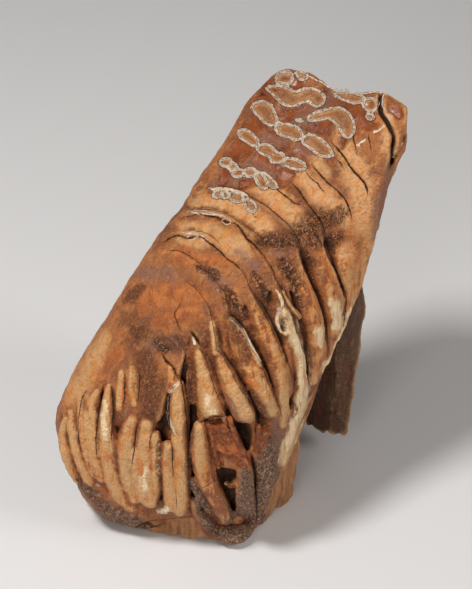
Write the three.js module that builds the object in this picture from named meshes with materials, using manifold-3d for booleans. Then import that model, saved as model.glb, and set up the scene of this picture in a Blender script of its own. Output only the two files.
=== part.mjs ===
// Fossil mammoth molar: one natural solid, crown and broken roots grown together.
// Millimetres, +Z up. +X runs along the tooth to its worn front end, -Y is the cheek side.
// The crown is a row of upright plates set across X, so each section below is one plate's outline.
import * as THREE from 'three';
import { mergeVertices } from 'three/addons/utils/BufferGeometryUtils.js';
import createManifold from 'manifold-3d';

const wasm = await createManifold();
wasm.setup();
const { Manifold, Mesh: ManifoldMesh } = wasm;

// ---- driving dimensions ----
const PLATE_PITCH = 10.5;       // one enamel plate and the cementum behind it
const FIRST_PLATE_X = -70;      // centre of the last, unworn plate
const LAST_PLATE_X = 62;        // centre of the most worn plate
const PLATE_HALF = 3.5;         // half of a plate's thickness
const GROOVE = 1.9;             // depth of the groove between plates on the cheek and tongue sides
const SIDES = 34;               // points round a section
const FINGER_SIDES = 7;
const LOOP_HEIGHT = 0.8;        // enamel stands this far above the chewing surface
const BELOW_FLOOR = 40;         // size of the block that trims the resting face flat

// Sections of the crown: top and bottom height, tongue (left) and cheek (right) reach,
// and how far the cheek edge of the top is lifted over the tongue edge.
const SECTIONS = [
  { x: -85, top: 52, bottom: 30, left: 44, right: 34, lift: 0 },
  { x: -80, top: 70, bottom: 8, left: 48, right: 20, lift: 0 },
  { x: -70, top: 88, bottom: -2, left: 49, right: 2, lift: 0 },
  { x: -55, top: 106, bottom: 2, left: 49, right: -20, lift: 0 },
  { x: -42, top: 119, bottom: 4, left: 49, right: -38, lift: 0 },
  { x: -28, top: 132, bottom: 5, left: 49, right: -43, lift: 0 },
  { x: -12, top: 145, bottom: 14, left: 48, right: -42, lift: 0 },
  { x: 3, top: 153, bottom: 34, left: 48, right: -40, lift: 0 },
  { x: 18, top: 163, bottom: 68, left: 49, right: -40, lift: 0 },
  { x: 32, top: 171, bottom: 92, left: 49, right: -39, lift: 1 },
  { x: 40, top: 177, bottom: 112, left: 49, right: -40, lift: 4 },
  { x: 46, top: 183, bottom: 142, left: 48, right: -41, lift: 8 },
  { x: 51, top: 188, bottom: 163, left: 47, right: -41, lift: 12 },
  { x: 57, top: 193, bottom: 172, left: 46, right: -41, lift: 16 },
  { x: 64, top: 198, bottom: 182, left: 43, right: -41, lift: 20 },
  { x: 68, top: 198, bottom: 187, left: 38, right: -36, lift: 18 },
];

// ---- small helpers ----
const clamp = (value, low, high) => Math.min(high, Math.max(low, value));
const mix = (a, b, t) => a + (b - a) * t;
const smooth = (low, high, value) => {
  const t = clamp((value - low) / (high - low), 0, 1);
  return t * t * (3 - 2 * t);
};

/** The crown's section at x, between the two nearest listed ones. */
function sectionAt(x) {
  const last = SECTIONS.length - 1;
  const after = clamp(SECTIONS.findIndex((s) => s.x >= x), 1, last);
  const upper = x > SECTIONS[last].x ? last : after;
  const [a, b] = [SECTIONS[upper - 1], SECTIONS[upper]];
  const t = clamp((x - a.x) / (b.x - a.x), 0, 1);
  const pick = (key) => mix(a[key], b[key], t);
  return {
    top: pick('top'), bottom: pick('bottom'), left: pick('left'), right: pick('right'), lift: pick('lift'),
  };
}

/** Centre of the crown at x: half-way across and a little below half height. */
function crownCentre(x) {
  const s = sectionAt(x);
  return new THREE.Vector3(x, (s.left + s.right) / 2, mix(s.bottom, s.top, 0.42));
}

/** Solid from indexed triangles, turned right side out. */
function solid(points, triangles) {
  let volume = 0;
  for (const [i, j, k] of triangles) volume += points[i].dot(points[j].clone().cross(points[k]));
  const facing = volume > 0 ? triangles : triangles.map(([i, j, k]) => [i, k, j]);
  return Manifold.ofMesh(new ManifoldMesh({
    numProp: 3,
    vertProperties: new Float32Array(points.flatMap((p) => [p.x, p.y, p.z])),
    triVerts: new Uint32Array(facing.flat()),
  }));
}

/** Skin between rings of equal length, closed by a fan at each end. */
function loft(rings) {
  const count = rings[0].length;
  const points = rings.flat();
  const triangles = [];
  for (let r = 0; r + 1 < rings.length; r += 1) {
    for (let i = 0; i < count; i += 1) {
      const next = (i + 1) % count;
      const [a, b, c, d] = [r * count + i, r * count + next, (r + 1) * count + i, (r + 1) * count + next];
      triangles.push([a, b, d], [a, d, c]);
    }
  }
  for (const [ring, start, flip] of [[rings[0], 0, true], [rings.at(-1), points.length - count, false]]) {
    const middle = ring.reduce((sum, p) => sum.add(p), new THREE.Vector3()).divideScalar(count);
    const hub = points.push(middle) - 1;
    for (let i = 0; i < count; i += 1) {
      const edge = [start + i, start + ((i + 1) % count)];
      triangles.push(flip ? [hub, edge[1], edge[0]] : [hub, edge[0], edge[1]]);
    }
  }
  return solid(points, triangles);
}

// ---- crown ----
/** One outline of the crown at x; sink pulls the sides and base in, for the groove between plates. */
function crownRing(x, sink) {
  const s = sectionAt(x);
  const centre = crownCentre(x);
  const half = (s.left - s.right) / 2;
  const square = mix(3.4, 5, smooth(20, 60, x));             // tongue shoulder
  const round = mix(2.2, 4.5, smooth(25, 60, x));            // cheek shoulder
  const ring = [];
  for (let i = 0; i < SIDES; i += 1) {
    const turn = (i / SIDES) * 2 * Math.PI;
    const [c, u] = [Math.cos(turn), Math.sin(turn)];
    const power = u < 0 ? 2.7 : (c > 0 ? square : round);
    const reach = (Math.abs(c) ** power + Math.abs(u) ** power) ** (-1 / power);
    const rise = u < 0 ? centre.z - s.bottom : s.top - centre.z;
    const across = half * reach * c;
    const lift = -s.lift * (across / (2 * half)) * smooth(0, 0.6, u);
    const worn = smooth(0.35, 0.75, u) * smooth(-75, -45, x);  // no groove across the chewing surface
    const length = Math.hypot(across, rise * reach * u) || 1;
    const keep = 1 - (sink * (1 - worn)) / length;
    ring.push(new THREE.Vector3(x, centre.y + across * keep, centre.z + rise * reach * u * keep + lift));
  }
  return ring;
}

function crown() {
  const rings = [crownRing(-85, 0), crownRing(-82, 0), crownRing(-77, 0)];
  for (let x = FIRST_PLATE_X; x < LAST_PLATE_X; x += PLATE_PITCH) {
    rings.push(crownRing(x - PLATE_HALF, 0), crownRing(x + PLATE_HALF, 0));
    rings.push(crownRing(x + PLATE_PITCH / 2, GROOVE));
  }
  rings.push(crownRing(LAST_PLATE_X, 0), crownRing(66, 0), crownRing(68, 0));
  return loft(rings);
}

// ---- fingers: the rounded tops of unworn plates ----
// Each has points down its crest on the crown's skin, and a radius at its tip and at its foot.
const FINGERS = [
  // cheek shoulder, from the near end on
  { path: [[-42, -10, 114], [-46, -19, 101], [-47, -26, 83]], tip: 4.6, foot: 6.2 },
  { path: [[-36, -17, 117], [-38, -29, 100], [-39, -36, 78]], tip: 4.6, foot: 6.6 },
  { path: [[-27, -25, 119], [-27, -35, 103], [-28, -41, 80]], tip: 5, foot: 6.6 },
  { path: [[-15, -31, 121], [-16, -38, 102], [-18, -42, 70]], tip: 4.8, foot: 5.4 },
  { path: [[-6, -28, 130], [-5, -38, 108], [-7, -42, 85], [-8, -41, 58]], tip: 4.2, foot: 5 },
  { path: [[5, -28, 136], [5, -37, 116], [4, -40, 90]], tip: 4.6, foot: 5.4 },
  { path: [[16, -30, 144], [16, -38, 124], [15, -39, 100]], tip: 4.4, foot: 5.2 },
  { path: [[27, -32, 152], [27, -39, 132], [26, -38, 110]], tip: 4.2, foot: 5 },
  // near face, tongue side to cheek side
  { path: [[-82, 46, 62], [-85, 41, 48], [-82, 38, 24]], tip: 3.4, foot: 4.5 },
  { path: [[-79, 38, 68], [-83, 33, 50], [-80, 29, 26]], tip: 4, foot: 4.5 },
  { path: [[-73, 30, 82], [-80, 29, 65], [-81, 25, 40], [-76, 22, 16]], tip: 4.2, foot: 4.5 },
  { path: [[-69, 22, 90], [-76, 17, 63], [-77, 16, 38]], tip: 4.4, foot: 4.5 },
  { path: [[-64, 20, 95], [-71, 14, 82]], tip: 3.4, foot: 4 },
  { path: [[-61, 12, 98], [-67, 8, 82]], tip: 3.4, foot: 4 },
  { path: [[-69, 8, 78], [-73, 8, 56], [-73, 7, 29], [-69, 7, 14]], tip: 4.6, foot: 5.2 },
  { path: [[-66, 2, 76], [-69, 1, 55], [-69, 1, 23], [-66, 1, 12]], tip: 3.8, foot: 4.2 },
  { path: [[-64, -2, 71], [-66, -4, 50], [-66, -3, 20]], tip: 2.4, foot: 3 },
  { path: [[-61, -8, 67], [-63, -8, 45], [-62, -8, 18]], tip: 2.6, foot: 3 },
  { path: [[-59, -11, 71], [-60, -13, 55], [-58, -13, 18]], tip: 3.8, foot: 4.6 },
  { path: [[-54, -7, 98], [-57, -10, 85], [-59, -12, 70]], tip: 3.4, foot: 4 },
  { path: [[-53, -18, 79], [-53, -22, 64], [-50, -27, 41], [-46, -30, 16]], tip: 4.2, foot: 4.8 },
  { path: [[-55, -18, 34], [-52, -21, 14]], tip: 3, foot: 3.4 },
  { path: [[-33, -42, 62], [-31, -43, 38], [-33, -40, 12]], tip: 5, foot: 5 },
  { path: [[-40, -39, 58], [-42, -38, 35], [-43, -35, 8]], tip: 4.4, foot: 5 },
];
// Tongue side: the same plates, one finger each, down the far shoulder.
const TONGUE_FINGERS = Array.from({ length: 8 }, (_, i) => {
  const x = FIRST_PLATE_X + i * PLATE_PITCH;
  const s = sectionAt(x);
  return {
    path: [[x, s.left - 3, s.top - 22], [x - 1, s.left + 0.5, s.top - 45], [x, s.left - 1, s.top - 75]],
    tip: 4, foot: 4.8,
  };
});
const FINGER_DEPTH = 0.45;      // how far a finger's centre line lies under the skin, as a share of its radius

/** Round-tipped tube along a path. */
function finger({ path, tip, foot }) {
  const buried = path.map(([x, y, z]) => {
    const inner = crownCentre(Math.max(x, -46) + 6);
    const point = new THREE.Vector3(x, y, z);
    return point.add(inner.sub(point).setLength(FINGER_DEPTH * foot));
  });
  const curve = new THREE.CatmullRomCurve3(buried);
  const length = curve.getLength();
  // distance from the tip, and radius there as a share of the full one
  const steps = [[0, 0.45], [0.4 * tip, 0.88], [tip * 1.1, 1], [length * 0.6, 1], [length, 0.6]];
  const across = new THREE.Vector3();
  const rings = steps.map(([distance, share]) => {
    const t = clamp(distance / length, 0, 1);
    const along = curve.getTangentAt(t);
    across.crossVectors(along, new THREE.Vector3(0.1, 1, 0.2)).normalize();
    const other = new THREE.Vector3().crossVectors(along, across);
    const centre = curve.getPointAt(t);
    const radius = mix(tip, foot, t) * share;
    return Array.from({ length: FINGER_SIDES }, (_, i) => {
      const turn = (i / FINGER_SIDES) * 2 * Math.PI;
      return centre.clone().addScaledVector(across, radius * Math.cos(turn))
        .addScaledVector(other, radius * Math.sin(turn));
    });
  });
  return loft(rings);
}

// ---- enamel loops on the chewing surface: place along X and Y, size across and along, turn ----
const LOOPS = [
  { x: 62, y: 30, across: 10, along: 7 }, { x: 62, y: 18, across: 7, along: 6 },
  { x: 60, y: -7, across: 15, along: 6 }, { x: 61, y: -22, across: 10, along: 6 },
  { x: 54, y: 34, across: 11, along: 7 }, { x: 53.5, y: 21, across: 12, along: 8 },
  { x: 53, y: 7, across: 13, along: 8 }, { x: 47, y: 34, across: 11, along: 10 },
  { x: 47, y: -14, across: 26, along: 7 }, { x: 43, y: 13, across: 13, along: 7 },
  { x: 41, y: -3, across: 15, along: 7 }, { x: 38, y: 33, across: 9, along: 8 },
  { x: 34.5, y: 20, across: 13, along: 7 }, { x: 33, y: 5, across: 13, along: 6 },
  { x: 26, y: 33, across: 8, along: 5 }, { x: 24, y: 22, across: 11, along: 6 },
  { x: 22.5, y: 8, across: 10, along: 6 }, { x: 13.5, y: 27, across: 9, along: 5 },
  { x: 12, y: 15, across: 13, along: 6 },
];
const LOOP_SIDES = 10;

/** Height of the crown's top skin at (x, y). */
function topHeight(x, y) {
  const s = sectionAt(x);
  const centre = crownCentre(x);
  const half = (s.left - s.right) / 2;
  const power = y > centre.y ? mix(3.4, 5, smooth(20, 60, x)) : mix(2.2, 4.5, smooth(25, 60, x));
  const share = clamp(Math.abs(y - centre.y) / half, 0, 0.98);
  return centre.z + (s.top - centre.z) * (1 - share ** power) ** (1 / power) - s.lift * ((y - centre.y) / (2 * half));
}

/** A low ridge round one worn plate finger. */
function enamelLoop({ x, y, across, along }) {
  const ring = (grow, height) => Array.from({ length: LOOP_SIDES }, (_, i) => {
    const turn = (i / LOOP_SIDES) * 2 * Math.PI;
    const px = x + (along / 2 + grow) * Math.cos(turn);
    const py = y + (across / 2 + grow) * Math.sin(turn);
    return new THREE.Vector3(px, py, topHeight(px, py) + height);
  });
  const profile = [ring(0, -2), ring(0, LOOP_HEIGHT), ring(-1.7, LOOP_HEIGHT), ring(-1.7, -2)];
  const points = profile.flat();
  const triangles = [];
  for (let r = 0; r < profile.length; r += 1) {
    for (let i = 0; i < LOOP_SIDES; i += 1) {
      const [j, q] = [(i + 1) % LOOP_SIDES, (r + 1) % profile.length];
      const [a, b, c, d] = [r * LOOP_SIDES + i, r * LOOP_SIDES + j, q * LOOP_SIDES + i, q * LOOP_SIDES + j];
      triangles.push([a, b, d], [a, d, c]);
    }
  }
  return solid(points, triangles);
}

// ---- cracks: the open joints where cementum has shrunk from the plates ----
// Each runs over the skin through its points; width is at the skin, depth is straight in.
const CRACKS = [
  { path: [[65, -26, 206], [62, -26, 202], [58, -31, 199], [56, -38, 194], [55, -42, 183]], width: 2, depth: 5 },
  { path: [[45, -10, 183], [43, -22, 181], [42, -31, 175], [41, -38, 165]], width: 1.6, depth: 4 },
  { path: [[36, -7, 174], [34, -23, 169], [35, -33, 162], [33, -38, 151]], width: 1.6, depth: 4 },
  { path: [[26, -3, 167], [24, -20, 160], [21, -30, 149], [22, -37, 134]], width: 2.2, depth: 5 },
  { path: [[13, 0, 160], [13, -18, 154], [10, -28, 143], [11, -37, 126]], width: 2.2, depth: 5 },
  { path: [[0, 9, 151], [-3, -3, 149], [-4, -16, 145], [0, -30, 129]], width: 1.6, depth: 4 },
];
const CRACK_CLEAR = 3;          // how far the cutting blade stands proud of the skin

function crack({ path, width, depth }) {
  const points = path.map(([x, y, z]) => new THREE.Vector3(x, y, z));
  return loft(points.map((point, i) => {
    const along = points[Math.min(i + 1, points.length - 1)].clone().sub(points[Math.max(i - 1, 0)]).normalize();
    const inward = crownCentre(point.x - 6).sub(point).normalize();
    const across = new THREE.Vector3().crossVectors(along, inward).normalize();
    const ends = i === 0 || i === points.length - 1 ? 0.4 : 1;
    const proud = point.clone().addScaledVector(inward, -CRACK_CLEAR);
    return [
      proud.clone().addScaledVector(across, (width * ends) / 2),
      proud.clone().addScaledVector(across, (-width * ends) / 2),
      point.clone().addScaledVector(inward, depth * ends),
    ];
  }));
}

// ---- roots: outlines in plan at a few heights ----
const MAIN_ROOT = [
  { z: 0, edge: [[-58, 30], [-57, 12], [-50, 0], [-45, -14], [-38, -27], [-20, -31], [3, -28], [6, -8], [5, 18],
    [-2, 34], [-24, 40], [-48, 38]] },
  { z: 16, edge: [[-60, 30], [-58, 12], [-52, 0], [-46, -15], [-39, -29], [-20, -33], [4, -30], [7, -8], [6, 18],
    [-2, 36], [-24, 42], [-50, 40]] },
  { z: 62, edge: [[-56, 30], [-54, 14], [-48, 2], [-42, -12], [-34, -26], [-18, -33], [5, -32], [8, -8], [8, 18],
    [0, 36], [-22, 40], [-46, 36]] },
];
const FRONT_ROOT_CHEEK = [
  { z: 14, edge: [[40, -10], [41, -20], [47, -26], [50, -21], [50, -8], [48, 4], [44, 6], [40, 0]] },
  { z: 50, edge: [[37, -12], [38, -24], [46, -30], [50, -25], [51, -10], [49, 6], [43, 8], [37, 0]] },
  { z: 100, edge: [[30, -14], [33, -30], [45, -36], [50, -29], [51, -10], [49, 8], [42, 10], [30, 2]] },
  { z: 145, edge: [[28, -14], [31, -28], [42, -33], [44, -27], [44, -10], [44, 8], [38, 10], [28, 2]] },
];
const FRONT_ROOT_TONGUE = [
  { z: 0, edge: [[39, 10], [43, 3], [49, 6], [51, 18], [48, 28], [42, 30], [37, 22]] },
  { z: 50, edge: [[36, 8], [43, 0], [50, 3], [52, 18], [49, 33], [41, 35], [35, 24]] },
  { z: 100, edge: [[30, 6], [42, -2], [50, 1], [52, 18], [49, 38], [39, 40], [30, 26]] },
  { z: 145, edge: [[28, 6], [38, -2], [44, 1], [45, 18], [44, 36], [37, 38], [28, 26]] },
];
const RAGGED = 3;               // how far the broken end of a root that hangs free wanders up and down
const root = (outlines, ragged = 0) => loft(outlines.map(({ z, edge }, level) => edge.map(([x, y], i) => {
  const broken = level === 0 ? ragged * Math.sin(2.4 * i + 1) : 0;
  return new THREE.Vector3(x, y, z + broken);
})));

// ---- the molar ----
function molar() {
  const grown = Manifold.union([
    crown(), root(MAIN_ROOT), root(FRONT_ROOT_CHEEK, RAGGED), root(FRONT_ROOT_TONGUE),
    ...[...FINGERS, ...TONGUE_FINGERS].map(finger),
    ...LOOPS.map(enamelLoop),
  ]);
  const block = new THREE.BoxGeometry(400, 400, BELOW_FLOOR).translate(0, 0, -BELOW_FLOOR / 2);
  return Manifold.difference([grown, fromGeometry(block), ...CRACKS.map(crack)]);
}

function fromGeometry(geometry) {
  geometry.deleteAttribute('normal');
  geometry.deleteAttribute('uv');
  const merged = mergeVertices(geometry);
  const place = merged.getAttribute('position');
  const points = Array.from({ length: place.count }, (_, i) => new THREE.Vector3().fromBufferAttribute(place, i));
  const index = Array.from(merged.index.array);
  return solid(points, Array.from({ length: index.length / 3 }, (_, i) => index.slice(3 * i, 3 * i + 3)));
}

function toGeometry(shape) {
  const mesh = shape.getMesh();
  const geometry = new THREE.BufferGeometry();
  const places = [];
  for (let i = 0; i < mesh.numVert; i += 1) places.push(...mesh.position(i));
  geometry.setAttribute('position', new THREE.Float32BufferAttribute(places, 3));
  geometry.setIndex(Array.from(mesh.triVerts));
  geometry.computeVertexNormals();
  return geometry;
}

/** Moves the origin to the middle of the resting face's side of the bounding box. */
function standOnOrigin(geometry) {
  geometry.computeBoundingBox();
  const { min, max } = geometry.boundingBox;
  return geometry.translate(-(min.x + max.x) / 2, -(min.y + max.y) / 2, -min.z);
}

const fossil = new THREE.MeshStandardMaterial({ color: 0xa9714a, roughness: 0.55, metalness: 0 });
const tooth = new THREE.Mesh(standOnOrigin(toGeometry(molar())), fossil);
tooth.name = 'molar';

const part = new THREE.Group();
part.name = 'fossil_mammoth_molar';
part.add(tooth);
export default part;
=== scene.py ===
"""Looks of a fossil mammoth molar: its crown, fingers, broken roots and worn chewing surface."""

import copy
import math
from itertools import product

import bpy
import numpy as np
from mathutils import Matrix


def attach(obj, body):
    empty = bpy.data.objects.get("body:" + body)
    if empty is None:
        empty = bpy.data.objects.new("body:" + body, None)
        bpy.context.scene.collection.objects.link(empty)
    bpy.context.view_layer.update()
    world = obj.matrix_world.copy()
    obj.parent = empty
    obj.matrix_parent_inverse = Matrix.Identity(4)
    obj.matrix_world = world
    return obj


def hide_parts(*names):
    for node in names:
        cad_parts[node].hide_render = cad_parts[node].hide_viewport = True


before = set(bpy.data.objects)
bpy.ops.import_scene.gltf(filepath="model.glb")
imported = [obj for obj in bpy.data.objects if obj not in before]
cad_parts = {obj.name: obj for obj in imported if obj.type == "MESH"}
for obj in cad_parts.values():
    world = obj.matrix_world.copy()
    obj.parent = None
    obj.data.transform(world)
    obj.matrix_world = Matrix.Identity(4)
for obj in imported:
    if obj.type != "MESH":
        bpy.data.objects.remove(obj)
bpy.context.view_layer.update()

MM = 0.001
FRAME_SHIFT = np.array([9.37, -3.43, 0.0])     # from the crown's own axes to the row frame, mm
GRID_STEP = 0.65        # mm between samples of the tooth's shape
CROWN_TRIANGLES, ROOT_TRIANGLES = 190_000, 110_000     # most that each piece may have

# ---------------------------------------------------------------- camera
PICTURE = (472, 589)                           # width and height that pixel places below refer to
CAMERA_ELEVATION = 38.0                        # degrees above the horizon
CAMERA_TURN = 43.0                             # degrees between the line of sight and +X, in plan
CAMERA_DISTANCE = 1100.0                       # mm
CLEAR_OF_TOOTH = 230.0                         # mm before that, where no line of sight has met the tooth
SIGHT_STEPS = 260                              # that a line of sight takes from there to the skin
FOCAL_PIXELS = 2200.0
CROWN_ORIGIN_PIXEL = (245, 475)                # where the crown axes' origin is seen


class Eye:
    """The camera: turns places in mm into pixels, and pixels into lines of sight."""

    def __init__(self):
        turn, rise = math.radians(CAMERA_TURN), math.radians(CAMERA_ELEVATION)
        self.level = np.array([math.cos(turn), math.sin(turn), 0])
        self.ahead = self.level * math.cos(rise) - np.array([0, 0, math.sin(rise)])
        self.right = np.array([math.sin(turn), -math.cos(turn), 0])
        self.up = np.cross(self.right, self.ahead)
        self.place = -CAMERA_DISTANCE * self.line(CROWN_ORIGIN_PIXEL)[0]

    def line(self, pixels):
        """Lines through these pixels, each one long in the direction ahead."""
        pixels = np.atleast_2d(np.asarray(pixels, float))
        across = (pixels[:, :1] - PICTURE[0] / 2) / FOCAL_PIXELS
        above = (PICTURE[1] / 2 - pixels[:, 1:2]) / FOCAL_PIXELS
        return self.ahead + across * self.right + above * self.up

    def sight(self, pixels):
        line = self.line(pixels)
        return line / np.linalg.norm(line, axis=1, keepdims=True)

    def pixel(self, points):
        away = points - self.place
        depth = away @ self.ahead
        return np.stack([PICTURE[0] / 2 + FOCAL_PIXELS * (away @ self.right) / depth,
                         PICTURE[1] / 2 - FOCAL_PIXELS * (away @ self.up) / depth], axis=-1)


EYE = Eye()


# ---------------------------------------------------------------- anatomy, in mm and in pixels
def spots(text):
    """Places written as in an SVG outline, "x,y x,y", each with a value of its own where a line has one."""
    return np.array([spot.split(",") for spot in text.split()], float)


def strokes(text):
    return [spots(stroke) for stroke in text.split("/")]


def finger(places, proud, pale=(), low=False):
    """A finger of a plate. Its middle lies its own radius under its crest."""
    return dict(line=spots(places), deep=-proud, grows=1, pale=pale, low=low)


def hollow(places, deep):
    """A hollow, whose middle lies equally deep all along."""
    return dict(line=spots(places), deep=deep, grows=0, low=False)


def furrow(places, **shape):
    return dict(line=spots(places), **shape)


SHAPE_LOW, SHAPE_HIGH = (-96, -54, -4), (76, 58, 216)      # corners of the box the shape is worked out in
PLATE_PITCH = 10.6
GROOVE_AT = 1.5                                # x of one groove between plates
# Crown sections, the same as the solid's: x, top, bottom, tongue side, cheek side, lift of the cheek edge
SECTIONS = np.array([
    (-85, 52, 30, 47, 34, 0), (-80, 70, 8, 51, 20, 0), (-70, 88, -2, 52.5, 2, 0), (-55, 106, 2, 52.5, -20, 0),
    (-42, 119, 4, 51.5, -38, 0), (-28, 132, 5, 50, -43, 0), (-12, 145, 14, 49, -42, 0),
    (3, 153, 34, 49, -40, 0), (18, 163, 68, 50, -40, 0), (32, 171, 92, 50.5, -40, 1),
    (40, 177, 112, 50, -41, 4), (46, 183, 142, 49, -42, 8), (51, 188, 163, 47, -42, 12),
    (57, 193, 172, 43.5, -42, 16), (64, 198, 182, 40, -42, 20), (68, 198, 187, 36, -40, 18)], float)
# How square the sections are on the tongue side: x, mm, and power of the curve
TONGUE_SQUARE = spots("-66,3.4 -44,4.2 -30,5 -5,5 10,4.7 28,3.9 60,5")
NEAR_END = -86.0                               # x
HOOK_HEIGHT = 6.0                              # of the middle of the hook at the crown's base over the floor
WORN_ABOVE = 110                               # z over which all polish lies
FRONT_END = spots("-44,60 -38,66 -25,68 -12,67 4,67 18,68 32,67 40,63")      # y and x, mm
# Rise of the worn surface's far edge: y and rise, mm
FRONT_TOP = spots("-40,0 -25,2 -18,1.5 -8,-1 0,-1.5 7,-3.5 13,0 22,3.5 34,6.5 42,5")
# Roots, as outlines in plan at a few heights, mm: the same as the solid's. ragged is how uneven the end is.
ROOTS = {
    "main": dict(ragged=1.4, levels=[0, 16, 62], edges=[
        spots("-61,28 -62.5,9 -57,-4 -48.5,-14.5 -38,-27 -20,-31 3,-28 6,-8 5,18 -2,34 -24,40 -48,38"),
        spots("-61,30 -61.5,11 -56,-2 -48,-15 -39,-29 -20,-33 4,-30 7,-8 6,18 -2,36 -24,42 -50,40"),
        spots("-56,30 -54,14 -48,2 -42,-12 -34,-26 -18,-33 5,-32 8,-8 8,18 0,36 -22,40 -46,36")]),
    "front_cheek": dict(ragged=4, levels=[12, 50, 100, 145], edges=[
        spots("40,-10 41,-20 47,-26 50,-21 50,-8 48,4 44,6 40,0"),
        spots("37,-12 38,-24 46,-30 50,-25 51,-10 49,6 43,8 37,0"),
        spots("30,-14 33,-30 45,-36 50,-29 51,-10 49,8 42,10 30,2"),
        spots("28,-14 31,-28 42,-33 44,-27 44,-10 44,8 38,10 28,2")]),
    "front_tongue": dict(ragged=1.4, levels=[0, 50, 100, 145], edges=[
        spots("39,10 43,3 49,6 51,18 48,28 42,30 37,22"),
        spots("36,8 43,0 50,3 52,18 49,33 41,35 35,24"),
        spots("30,6 42,-2 50,1 52,18 49,38 39,40 30,26"),
        spots("28,6 38,-2 44,1 45,18 44,36 37,38 28,26")]),
}

# From here on places are pixels.
CHEWED_TO = 230                                # row of pixels below all enamel loops
LOOP_PIXELS = 2                                # to a mm on the chewing surface
LOOP_HALF = 0.85                               # pixels from a loop's line to each of its two ridges
LOOP_RIDGE = 0.18                              # mm, half width of those ridges
NO_LOOP, NO_CRACK = 20.0, 9.0                  # mm and pixels that stand for none near
# The near end's rounded foot, along its outline
FOOT_OUTLINE = spots("55,405 54,432 61,458 72,482 88,505 108,523 132,531 170,533")
# Line above which the plates' fingers don't stand free, from the near end to the cheek side
TIP_LINE = spots(
    "50,428 66,418 80,400 92,390 110,408 121,414 134,414 150,412 160,416 168,384 178,372 190,348 199,344 "
    "214,318 231,308 245,298 256,290 270,283 283,266 300,250 325,232 345,205 365,200 410,210")
# How far the crown is drawn in below that line: column of pixels and depth in mm
TIP_DEPTH = spots("50,0.8 95,1 112,2.6 122,4 150,4.6 185,4.6 200,2.2 260,1.2 300,0")

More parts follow.
